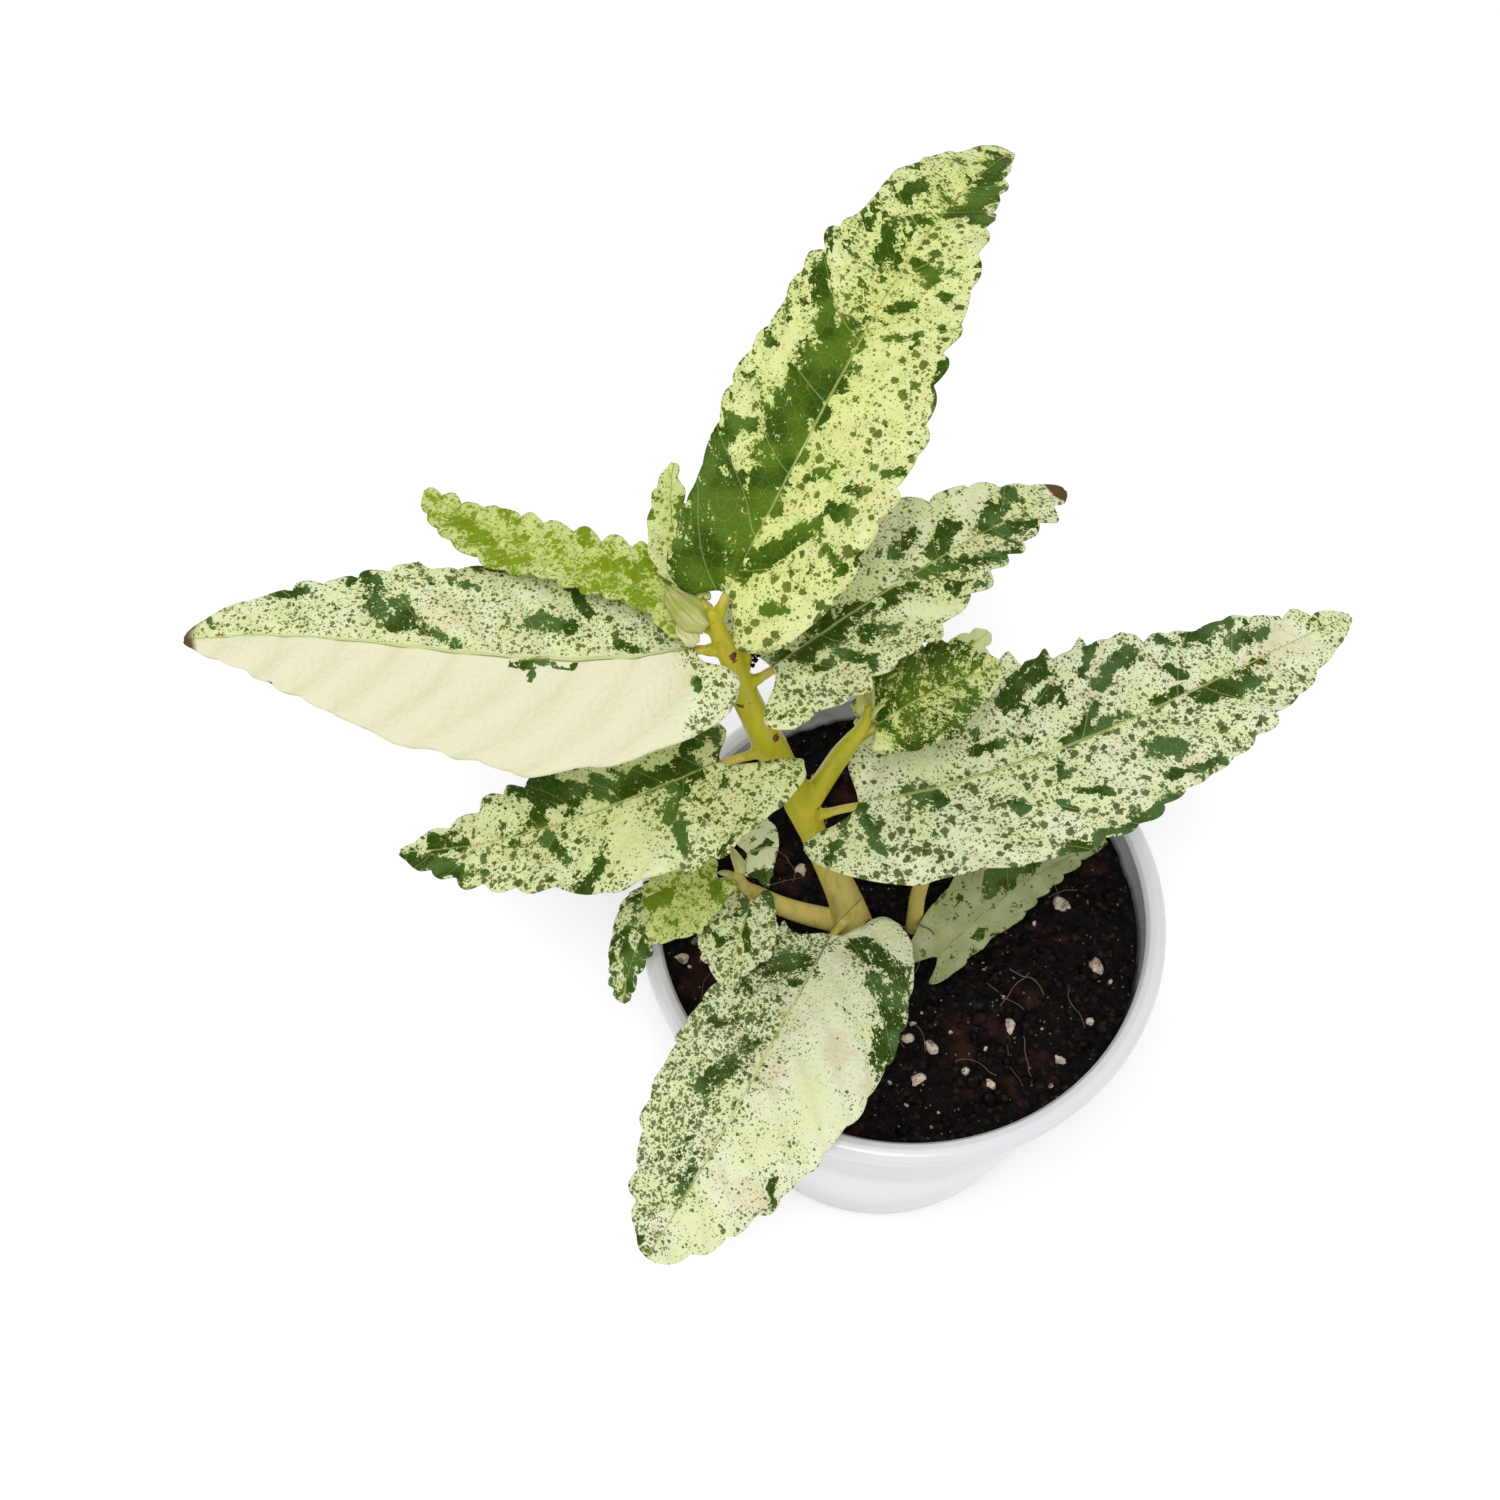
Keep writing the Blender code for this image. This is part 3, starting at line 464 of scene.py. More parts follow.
def smooth_path(points, radii, steps):
    """A curve through the points: point numbers, radii and places."""
    points = np.array(points, float)
    ends = np.vstack([2 * points[0] - points[1], points, 2 * points[-1] - points[-2]])
    last = len(points) - 1
    number = np.arange(last * steps + 1) / steps
    first = np.minimum(number.astype(int), last - 1)
    a, b, c, d = (ends[first + k] for k in range(4))
    t = (number - first)[:, None]
    places = 0.5 * (2 * b + (c - a) * t + (2 * a - 5 * b + 4 * c - d) * t ** 2
                    + (3 * b - a - 3 * c + d) * t ** 3)
    return number, np.interp(number, np.arange(last + 1), radii), places


def tube(name, points, radii, sides):
    """A closed tube with round ends along the points, as a mesh object."""
    points = np.array(points, float)
    radii = np.array(radii, float)
    way = np.gradient(points, axis=0)
    way /= np.linalg.norm(way, axis=1)[:, None]
    ends = np.array([0.25, 0.65, 0.93])
    domes = 0.7 * np.sqrt(1 - ends ** 2)[:, None]
    head = points[0] - way[0] * radii[0] * domes
    tail = points[-1] + way[-1] * radii[-1] * domes[::-1]
    points = np.vstack([head, points, tail])
    radii = np.concatenate([radii[0] * ends, radii, radii[-1] * ends[::-1]])
    way = np.vstack([way[:1]] * 3 + [way] + [way[-1:]] * 3)
    side = np.cross(way[0], (0.3, 0.9, 0.2))
    angles = np.linspace(0, 2 * math.pi, sides, endpoint=False)[:, None]
    rings = []
    for place, ahead, radius in zip(points, way, radii):
        side = side - ahead * (side @ ahead)
        side /= np.linalg.norm(side)
        other = np.cross(ahead, side)
        rings.append(place + radius * (np.cos(angles) * side + np.sin(angles) * other))
    faces = []
    for start in range(0, (len(rings) - 1) * sides, sides):
        for j in range(sides):
            k = (j + 1) % sides
            faces.append((start + j, start + k, start + sides + k, start + sides + j))
    faces.append(tuple(range(sides))[::-1])
    faces.append(tuple(range((len(rings) - 1) * sides, len(rings) * sides)))
    return add_mesh(name, np.vstack(rings), faces)


def shoot(name, points, radii, steps, sides):
    """A tube along a smooth curve through the points."""
    number, radii, places = smooth_path(points, radii, steps)
    return tube(name, places, radii, sides)


def merge(items, name):
    """Joins mesh objects into the first one."""
    bpy.ops.object.select_all(action="DESELECT")
    for item in items:
        item.select_set(True)
    bpy.context.view_layer.objects.active = items[0]
    bpy.ops.object.join()
    items[0].name = name
    items[0].data.name = name
    return items[0]


def finish_piece(item, materials, slot, *nodes):
    """Dresses a piece, makes it ride with the plant and hides the model parts that it stands in for."""
    if not item.data.materials:
        for material in materials:
            item.data.materials.append(material)
    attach(item, "root")
    if nodes:
        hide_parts(*nodes)


def ramp(value):
    """A value held between 0 and 1."""
    return np.clip(value, 0, 1)


def ease(value, low, high):
    """From 0 at low to 1 at high, smoothly."""
    t = ramp((value - low) / (high - low))
    return t * t * (3 - 2 * t)


def chance(*keys):
    """A fixed draw from 0 to 1 for whole numbers."""
    total = sum(np.asarray(key) * factor for key, factor in zip(keys, (127.1, 311.7, 74.7)))
    return (np.sin(total) * 43758.5453) % 1.0


def rolling(first, second, seed):
    """Smooth random heights, from about -1 to 1, for two coordinates."""
    return np.array([noise.noise(Vector((a, b, seed))) for a, b in zip(first, second)])


# Materials

class Shading:
    """Builds a material's nodes. A value is a number, a colour or another node's socket."""

    def __init__(self, name, flat=False):
        self.material = bpy.data.materials.new(name)
        self.material.use_nodes = True
        self.tree = self.material.node_tree
        self.shader = self.tree.nodes["Principled BSDF"]
        self.space = "2D" if flat else "3D"

    def put(self, socket, value):
        if isinstance(value, bpy.types.NodeSocket):
            self.tree.links.new(value, socket)
        else:
            socket.default_value = value

    def node(self, kind, inputs, **settings):
        node = self.tree.nodes.new(kind)
        for key, value in settings.items():
            setattr(node, key, value)
        for key, value in inputs.items():
            self.put(node.inputs[key], value)
        return node.outputs

    def set(self, **inputs):
        """Sets the surface's sockets. An underline stands for a space in their names."""
        for key, value in inputs.items():
            self.put(self.shader.inputs[key.replace("_", " ")], value)

    def value(self, name, kind="Fac"):
        """A value that add_values stored."""
        return self.node("ShaderNodeAttribute", {}, attribute_name=name)[kind]

    def place(self):
        """The point in millimetres."""
        place = self.node("ShaderNodeTexCoord", {})["Object"]
        return self.stretch(place, (1000, 1000, 1000))

    def stretch(self, place, scale):
        return self.node("ShaderNodeMapping", {"Vector": place, "Scale": scale})["Vector"]

    def noise(self, place, scale, detail=2.0, roughness=0.5):
        inputs = {"Vector": place, "Scale": scale, "Detail": detail, "Roughness": roughness}
        return self.node("ShaderNodeTexNoise", inputs, noise_dimensions=self.space)["Fac"]

    def cells(self, place, scale, feature="F1"):
        """The outputs of a node that scatters cells over the surface."""
        return self.node("ShaderNodeTexVoronoi", {"Vector": place, "Scale": scale},
                         voronoi_dimensions=self.space, feature=feature)

    def draw(self, cells, number=0):
        """One of the three random numbers of each cell, from 0 to 1."""
        return self.node("ShaderNodeSeparateColor", {0: cells["Color"]})[number]

    def math(self, operation, *values):
        return self.node("ShaderNodeMath", dict(enumerate(values)), operation=operation)[0]

    def times(self, first, second):
        return self.math("MULTIPLY", first, second)

    def sum(self, *terms):
        """Adds terms, each a value or a pair of a value and a factor."""
        total = None
        for term in terms:
            if isinstance(term, tuple):
                term = self.times(*term)
            total = term if total is None else self.math("ADD", total, term)
        return total

    def ease(self, value, low, high):
        return self.node("ShaderNodeMapRange", {0: value, 1: low, 2: high, 3: 0.0, 4: 1.0},
                         interpolation_type="SMOOTHSTEP")[0]

    def mix(self, share, first, second):
        """Mixes two colours by a share, or by a pair of a share and a factor."""
        share = self.times(*share) if isinstance(share, tuple) else share
        first, second = ((*colour, 1.0) if isinstance(colour, tuple) else colour
                         for colour in (first, second))
        return self.node("ShaderNodeMix", {0: share, 6: first, 7: second}, data_type="RGBA")[2]

    def layers(self, colour, *coats):
        """Lays coats over a colour. A coat is a share and its own colour."""
        for share, coat in coats:
            colour = self.mix(share, colour, coat)
        return colour

    def bump(self, height, distance, strength):
        inputs = {"Height": height, "Distance": distance * MM, "Strength": strength}
        return self.node("ShaderNodeBump", inputs)["Normal"]

    def let_light_through(self, colour, share):
        """Makes a thin skin that passes a share of the light."""
        glow = self.node("ShaderNodeBsdfTranslucent", {"Color": colour})[0]
        both = self.node("ShaderNodeMixShader", {0: share, 1: self.shader.outputs[0], 2: glow})[0]
        self.put(self.tree.nodes["Material Output"].inputs["Surface"], both)


# Colours of leaves, stems, sheaths, soil, pot and floor

WHITE_CREAM = (0.84, 0.87, 0.66)
CREAM = (0.80, 0.83, 0.53)
YELLOW_CREAM = (0.75, 0.79, 0.26)
PINK_CREAM = (0.74, 0.65, 0.42)
IVORY = (0.80, 0.78, 0.57)
# Painted shade in the grooves between the side veins
GROOVE_SHADE = (0.52, 0.53, 0.26)
PALE_GREEN = (0.50, 0.62, 0.16)
DARK_GREEN = (0.034, 0.070, 0.006)
# Painted sheen: a blue-grey gloss on the green patches
SHEEN_GREY_GREEN = (0.075, 0.140, 0.046)
# Greens of warm leaves, partly painted light: the yellow-green of a leaf lit through from behind
BACKLIT_LIME_GREEN = (0.105, 0.185, 0.002)
BACKLIT_MOSS_GREEN = (0.038, 0.090, 0.001)
FRESH_GREEN = (0.28, 0.41, 0.012)
# Painted shade on a leaf low in the plant
LOW_SHADE_GREEN = (0.18, 0.22, 0.065)
COOL_DOT = (0.085, 0.130, 0.020)
WARM_DOT = (0.170, 0.180, 0.012)
RIB_GREEN = (0.52, 0.58, 0.20)
DRY_BROWN = (0.12, 0.075, 0.03)
CREASE_BROWN = (0.13, 0.13, 0.03)
BACK_GREEN = (0.50, 0.58, 0.30)

STEM_GOLD = (0.45, 0.40, 0.018)
STEM_GREEN = (0.36, 0.35, 0.010)
STEM_FOOT = (0.56, 0.46, 0.13)
STEM_STREAK = (0.24, 0.23, 0.02)
BARK_RED = (0.22, 0.065, 0.012)
BARK_BROWN = (0.06, 0.028, 0.012)

SHEATH_GREEN = (0.50, 0.55, 0.12)
SHEATH_YELLOW = (0.64, 0.64, 0.24)
SHEATH_CREAM = (0.80, 0.77, 0.43)
SHEATH_LINE = (0.42, 0.45, 0.10)

PEAT_BLACK = (0.002, 0.0015, 0.0015)
PEAT_BROWN = (0.010, 0.007, 0.006)
PEAT_CRUMB = (0.035, 0.022, 0.014)
PEAT_RED = (0.050, 0.018, 0.010)
PEAT_SPECK = (0.20, 0.13, 0.09)
PERLITE_PORE = (0.34, 0.26, 0.20)
PERLITE_WHITE = (0.66, 0.56, 0.47)
PEAT_DUST = (0.07, 0.04, 0.03)
FIBRE_DARK = (0.06, 0.03, 0.015)
FIBRE_PALE = (0.22, 0.14, 0.08)

POT_SHADE = (0.62, 0.62, 0.645)
POT_WHITE = (0.70, 0.70, 0.72)
POT_DUST = (0.07, 0.045, 0.03)
POT_SPECK = (0.07, 0.06, 0.06)
FLOOR_SHADE = (0.93, 0.93, 0.93)
FLOOR_WHITE = (0.95, 0.95, 0.95)


def leaf_material(name, under):
    """Cream skin with green patches, dots, dust, pale veins and a fine net, and some painted light and
    shade.
    """
    look = Shading(name, flat=True)
    flat = look.value("blade", "Vector")
    vein = look.value("vein", "Vector")
    field, crowd, tone, cloud, warm, fresh, aside = (
        look.value(key) for key in ("green", "crowd", "tone", "cloud", "warm", "fresh", "aside"))

    specks = look.cells(flat, 3.1)
    grains = look.cells(flat, 1.45)
    blobs = look.cells(flat, 0.68)
    plates = look.cells(vein, 0.70)
    net = look.cells(flat, 0.7, "DISTANCE_TO_EDGE")["Distance"]
    ragged = look.noise(specks["Position"], 0.45, 5.0, 0.66)
    broken = look.noise(flat, 0.75, 4.0, 0.70)
    fine = look.noise(flat, 1.9, 3.0, 0.70)
    strands = look.noise(look.stretch(vein, (1.1, 0.7, 1.0)), 1.0, 4.0, 0.70)

    field = look.sum(field, (ragged, 1.5), (look.draw(plates), 0.34), -0.92)
    flecks = look.sum((strands, 0.30), (broken, 0.30), (fine, 0.40), (look.value("fleck"), 0.09),
                      (field, -0.22))
    whole = look.math("SUBTRACT", 1.0, look.ease(flecks, 0.560, 0.575))
    patch = look.times(look.ease(field, -0.01, 0.02), whole)
    dust = look.sum((crowd, 0.45), (look.draw(specks), -1.6), (specks["Distance"], -1.0), 0.10)
    small = look.sum((crowd, 0.42), (look.draw(grains), -1.5), (grains["Distance"], -1.0),
                     (fine, 0.7), -0.33)
    dots = look.sum((look.value("spots"), 0.42), (look.draw(blobs), -1.1),
                    (blobs["Distance"], -1.0), (ragged, 0.9), (fine, 0.5), -0.66)

    # Painted sheen: the dark green turns blue-grey where the tone is high, at random and over raised
    # puckers
    shade = look.mix(look.ease(tone, 0.42, 0.66), DARK_GREEN, SHEEN_GREY_GREEN)
    # Partly painted light: warm leaves get a yellower green, which on a backlit leaf stands for light let
    # through
    sunny = look.mix(look.ease(tone, 0.35, 0.68), BACKLIT_MOSS_GREEN, BACKLIT_LIME_GREEN)
    shade = look.mix(fresh, look.mix(warm, shade, sunny), FRESH_GREEN)
    speck = look.mix(fresh, look.mix(warm, COOL_DOT, WARM_DOT), FRESH_GREEN)
    mottle = look.sum((broken, 0.6), (fine, 0.4), (crowd, 0.10), (field, 0.22))
    mottle = look.times(look.ease(mottle, 0.50, 0.64), look.sum((warm, 0.55), 0.18))
    course = look.math("PINGPONG", look.value("lateral"), 0.5)
    # Painted shade: the cream ground darkens in the grooves along the side veins, where shade falls
    valley_shade = look.times(look.ease(course, 0.22, 0.0), look.sum((tone, 0.3), 0.02))
    ground = look.layers(
        look.mix(look.ease(cloud, 0.40, 0.62), WHITE_CREAM, CREAM),
        ((look.ease(cloud, 0.46, 0.28), 0.55), PINK_CREAM),
        (warm, YELLOW_CREAM),
        (look.value("ivory"), IVORY),
        (mottle, PALE_GREEN),
        ((fresh, 0.38), FRESH_GREEN),
        # Painted shade: a leaf low in the plant is greyed and darkened where shade falls on it
        (look.value("haze"), LOW_SHADE_GREEN),
        (valley_shade, GROOVE_SHADE))

    line = look.math("MAXIMUM", look.ease(course, 0.018, 0.005),
                     look.times(look.ease(net, 0.04, 0.01), 0.35))
    rib = look.ease(look.math("ABSOLUTE", aside), 0.62, 0.30)
    crease = look.ease(look.math("ABSOLUTE", look.math("SUBTRACT", aside, 0.34)), 0.20, 0.06)
    crease = look.times(crease, look.ease(tone, 0.36, 0.52))
    colour = look.layers(
        ground,
        ((look.ease(dust, 0.0, 0.10), 0.85), speck),
        ((look.ease(small, 0.0, 0.06), 0.88), speck),
        ((look.ease(dots, 0.0, 0.03), 0.92), look.mix(look.draw(blobs, 2), shade, speck)),
        (patch, shade),
        ((line, look.sum((patch, 0.18), 0.06)), YELLOW_CREAM),
        ((rib, 0.6), RIB_GREEN),
        ((crease, 0.7), CREASE_BROWN),
        (look.ease(look.sum(look.value("dry"), (tone, 0.5)), 0.62, 0.85), DRY_BROWN))
    if under:
        colour = look.mix(0.35, colour, BACK_GREEN)

    height = look.sum((look.ease(net, 0.0, 0.35), 0.8), (fine, 0.5))
    look.set(Base_Color=colour, Roughness=look.sum((patch, -0.08), (tone, 0.15), 0.40),
             Specular_IOR_Level=0.06, Normal=look.bump(height, 0.14, 0.7))
    look.let_light_through(colour, 0.22)
    return look.material


def stem_material():
    """Juicy yellow-green skin, paler low down, with broken brown scars at the nodes."""
    look = Shading("stem_skin")
    place = look.place()
    streaks = look.noise(look.stretch(place, (1.0, 1.0, 0.18)), 0.9, 4.0, 0.6)
    broad = look.noise(place, 0.09)
    chips = look.noise(place, 0.7, 4.0, 0.65)
    bark = look.ease(look.sum(look.value("scar"), (chips, 1.4), -1.2), 0.30, 0.42)
    colour = look.layers(
        look.mix(look.ease(broad, 0.35, 0.65), STEM_GOLD, STEM_GREEN),
        (look.value("pale"), STEM_FOOT),
        ((look.ease(streaks, 0.45, 0.75), 0.5), STEM_STREAK),
        (bark, look.mix(look.ease(chips, 0.45, 0.55), BARK_RED, BARK_BROWN)))
    height = look.sum((streaks, 0.6), (chips, 0.3), (bark, 0.5))
    look.set(Base_Color=colour, Roughness=look.sum((bark, 0.25), 0.34), Specular_IOR_Level=0.25,
             Subsurface_Weight=0.15, Subsurface_Radius=(1.0, 0.8, 0.3), Subsurface_Scale=0.0015,
             Normal=look.bump(height, 0.12, 0.5))
    return look.material


def sheath_material():
    """Thin pale membrane with fine lengthwise lines."""
    look = Shading("pale_sheath", flat=True)
    place = look.value("blade", "Vector")
    lines = look.noise(look.stretch(place, (0.25, 3.0, 1.0)), 1.0, 3.0, 0.6)
    cloud = look.noise(place, 0.35)
    colour = look.layers(
        look.mix(look.ease(cloud, 0.35, 0.65), SHEATH_GREEN, SHEATH_YELLOW),
        (look.value("cream"), SHEATH_CREAM),
        ((look.ease(lines, 0.46, 0.62), 0.7), SHEATH_LINE))
    look.set(Base_Color=colour, Roughness=look.sum((cloud, 0.2), 0.30),
             Normal=look.bump(lines, 0.10, 0.5))
    look.let_light_through(colour, 0.4)
    return look.material


def soil_material():
    """Moist near-black peat with brown crumbs, light specks and a reddish patch."""
    look = Shading("peat_crumbs")
    place = look.place()
    crumbs = look.noise(place, 0.9, 5.0, 0.7)
    patch = look.noise(place, 0.09)
    grains = look.cells(place, 1.3)
    pick = look.draw(grains)
    speck = look.times(look.ease(pick, 0.075, 0.065), look.ease(grains["Distance"], 0.34, 0.2))
    colour = look.layers(
        look.mix(look.ease(crumbs, 0.42, 0.72), PEAT_BLACK, PEAT_BROWN),
        ((look.ease(pick, 0.86, 0.97), 0.6), PEAT_CRUMB),
        ((look.ease(patch, 0.60, 0.70), 0.5), PEAT_RED),
        ((speck, 0.8), PEAT_SPECK))
    look.set(Base_Color=colour, Roughness=look.sum((look.ease(crumbs, 0.4, 0.7), 0.40), 0.42),
             Specular_IOR_Level=0.06,
             Normal=look.bump(look.noise(place, 1.4, 4.0, 0.7), 0.4, 0.8))
    return look.material


def perlite_material():
    """Chalky white perlite with pores and peat dust."""
    look = Shading("perlite")
    place = look.place()
    pores = look.noise(place, 2.2, 5.0, 0.7)
    dust = look.noise(place, 0.7, 4.0, 0.65)
    colour = look.mix(look.ease(pores, 0.3, 0.6), PERLITE_PORE, PERLITE_WHITE)
    colour = look.mix((look.ease(dust, 0.46, 0.64), 0.85), colour, PEAT_DUST)
    look.set(Base_Color=colour, Roughness=0.85, Specular_IOR_Level=0.2,
             Normal=look.bump(pores, 0.18, 0.6))
    return look.material


def fibre_material():
    """Dry brown root fibre."""
    look = Shading("root_fibre")
    look.set(Base_Color=look.mix(look.noise(look.place(), 0.8, 3.0), FIBRE_DARK, FIBRE_PALE),
             Roughness=0.7)
    return look.material


def pot_material():
    """Glossy white plastic with faint haze, a few dark specks and peat dust near the soil."""
    look = Shading("pot_plastic")
    place = look.place()
    haze = look.noise(place, 0.05, 3.0)
    thin = look.noise(place, 0.13, 1.0)
    specks = look.times(look.ease(look.cells(place, 0.22)["Distance"], 0.085, 0.045),
                        look.ease(thin, 0.48, 0.54))
    smear = look.noise(look.stretch(place, (1.0, 1.0, 0.55)), 0.5, 6.0, 0.7)
    smear = look.ease(look.sum(look.value("dust"), (smear, 1.3), -0.9), 0.3, 0.62)
    colour = look.layers(look.mix(haze, POT_SHADE, POT_WHITE), ((smear, 0.8), POT_DUST),
                         ((specks, 0.85), POT_SPECK))
    orange_peel = look.sum((look.noise(place, 0.35), 1.0), (smear, 0.4))
    look.set(Base_Color=colour, Roughness=look.sum((smear, 0.4), (haze, 0.12), 0.16),
             Subsurface_Weight=0.25, Subsurface_Radius=(1.0, 1.0, 1.0), Subsurface_Scale=0.002,
             Normal=look.bump(orange_peel, 0.08, 0.35))
    return look.material


# Stems

def stem_at(name, number):
    """Place, direction and radius of a stem at a point number, which may lie between two points."""
    numbers, radii, places = smooth_path(STEMS[name]["points"], STEMS[name]["radii"], steps=8)
    way = between(number, numbers, np.gradient(places, axis=0))
    place = between(number, numbers, places)
    return place, way / np.linalg.norm(way), float(np.interp(number, numbers, radii))


def stem_scars(places, leaves):
    """How brown the stem is at each place: scars, and a ring under each leafstalk."""
    scar = np.zeros(len(places))
    for place, reach in SCARS:
        distance = np.linalg.norm(places - place, axis=1)
        scar = np.maximum(scar, 1.6 * np.exp(-(distance / reach) ** 2))
    for spec in leaves:
        place, way, radius = stem_at(*spec["stem"])
        away = places - place
        height = away @ way + 0.6 * radius
        ring = np.exp(-(height / 0.25) ** 2) * (np.linalg.norm(away, axis=1) < 2.0 * radius)
        scar = np.maximum(scar, 0.8 * ring)
    return scar


def build_stem(name, parts, material, node):
    """A stem, its shoots and the feet of its leafstalks, grown together, with scars."""
    tubes = [shoot(name + "_" + part, STEMS[part]["points"], STEMS[part]["radii"], steps=10, sides=24)
             for part in parts]
    leaves = [spec for spec in LEAVES.values() if spec["stem"][0] in parts]
    for spec in leaves:
        middle, skin_end, base = stalk_ends(spec)
        thick = stalk_radius(spec)
        tubes.append(tube(name + "_foot", [middle, skin_end, skin_end * 0.6 + base * 0.4],
                          [1.1 * thick, 1.05 * thick, 0.8 * thick], sides=16))
    item = merge(tubes, name)
    remesh = item.modifiers.new("skin", "REMESH")
    remesh.mode = "VOXEL"
    remesh.voxel_size = STEM_VOXEL * MM
    soften = item.modifiers.new("soften", "SMOOTH")
    soften.factor = 0.5
    soften.iterations = 10
    bake(item)
    item.data.shade_smooth()
    places = points_of(item)
    add_values(item, "scar", stem_scars(places, leaves))
    add_values(item, "pale", ease(places[:, 2], GREEN_ABOVE, PALE_BELOW))
    finish_piece(item, [material], "stem_green", node)


# Leaves

def direction(heading, pitch):
    """Unit vectors for headings and pitches in degrees."""
    heading = np.radians(heading)
    pitch = np.radians(pitch)
    return np.stack([np.cos(pitch) * np.cos(heading), np.cos(pitch) * np.sin(heading),
                     np.sin(pitch) * np.ones_like(heading)], axis=-1)


def stalk_radius(spec):
    """Radius of the leafstalk, which is thinner on a small leaf."""
    return STALK_RADIUS * min(1.0, 0.45 + spec["length"] / 100)


def stalk_ends(spec):
    """Where the leafstalk leaves the stem's middle and skin, and where the blade begins."""
    place, stem_way, radius = stem_at(*spec["stem"])
    length, heading, pitch = spec["stalk"]
    way = direction(heading, pitch)
    lean = abs(float(way @ stem_way))
    out = (radius + STEM_GAP + stalk_radius(spec) * lean) / math.sqrt(1 - lean ** 2)
    return place, place + way * out, place + way * (out + length)


def midrib(spec, along):
    """Place, left side and upper side of the midrib at distances from the blade's base."""
    share = np.linspace(0, 1, 100)
    heading = np.interp(share, (0, 1), spec["heading"]) + spec["turn"] * 4 * share * (1 - share)
    pitch = np.interp(share, (0, 1), spec["pitch"])
    way = direction(heading, pitch)
    steps = (way[1:] + way[:-1]) / 2 * spec["length"] / (len(share) - 1)
    line = np.vstack([np.zeros(3), np.cumsum(steps, axis=0)])
    distance = share * spec["length"]
    inside = np.clip(along, 0, spec["length"])
    heading = np.interp(inside, distance, heading)
    ahead = direction(heading, np.interp(inside, distance, pitch))
    place = between(inside, distance, line) + ahead * (along - inside)[:, None] + stalk_ends(spec)[2]
    flat = direction(heading + 90, np.zeros_like(heading))
    upper = np.cross(ahead, flat)
    roll = np.radians(np.interp(inside, (0, spec["length"]), spec["roll"]))[:, None]
    left = flat * np.cos(roll) + upper * np.sin(roll)
    return place, left, upper * np.cos(roll) - flat * np.sin(roll)


def pick(spec, key, across):
    """The left or the right one of a pair of sizes for each place."""
    return np.where(across >= 0, *spec[key])


def flat_place(spec, share, across):
    """Distance along the midrib and signed distance from it, before teeth and waves."""
    power = math.log(0.5) / np.log(pick(spec, "peak", across))
    body = ramp(np.sin(math.pi * ramp(share) ** power)) ** pick(spec, "fullness", across)
    heel = pick(spec, "base", across) * (1 - share) ** 8 * (1 - body)
    width = pick(spec, "width", across) * (body + heel) + 0.5
    lobe = np.sin(0.72 * math.pi * np.abs(across)) ** 2.2
    back = pick(spec, "lobes", across) * (1 - share) ** 6 * lobe
    return spec["length"] * share - back, across * width


def strokes(spec, key, along, reach):
    """How far inside the nearest stroke each place lies: 1 well inside, 0 outside."""
    inside = np.zeros(len(along))
    for *ends, wide in spec[key]:
        ends = np.array(ends) / 100
        first, last = np.transpose(flat_place(spec, ends[::2], ends[1::2]))
        run = last - first
        away = np.stack([along, reach], 1) - first
        share = ramp(away @ run / max(run @ run, 0.01))
        distance = np.linalg.norm(away - share[:, None] * run, axis=1)
        inside = np.maximum(inside, ramp(1.35 * (1 - distance / (1.5 * wide))))
    return inside


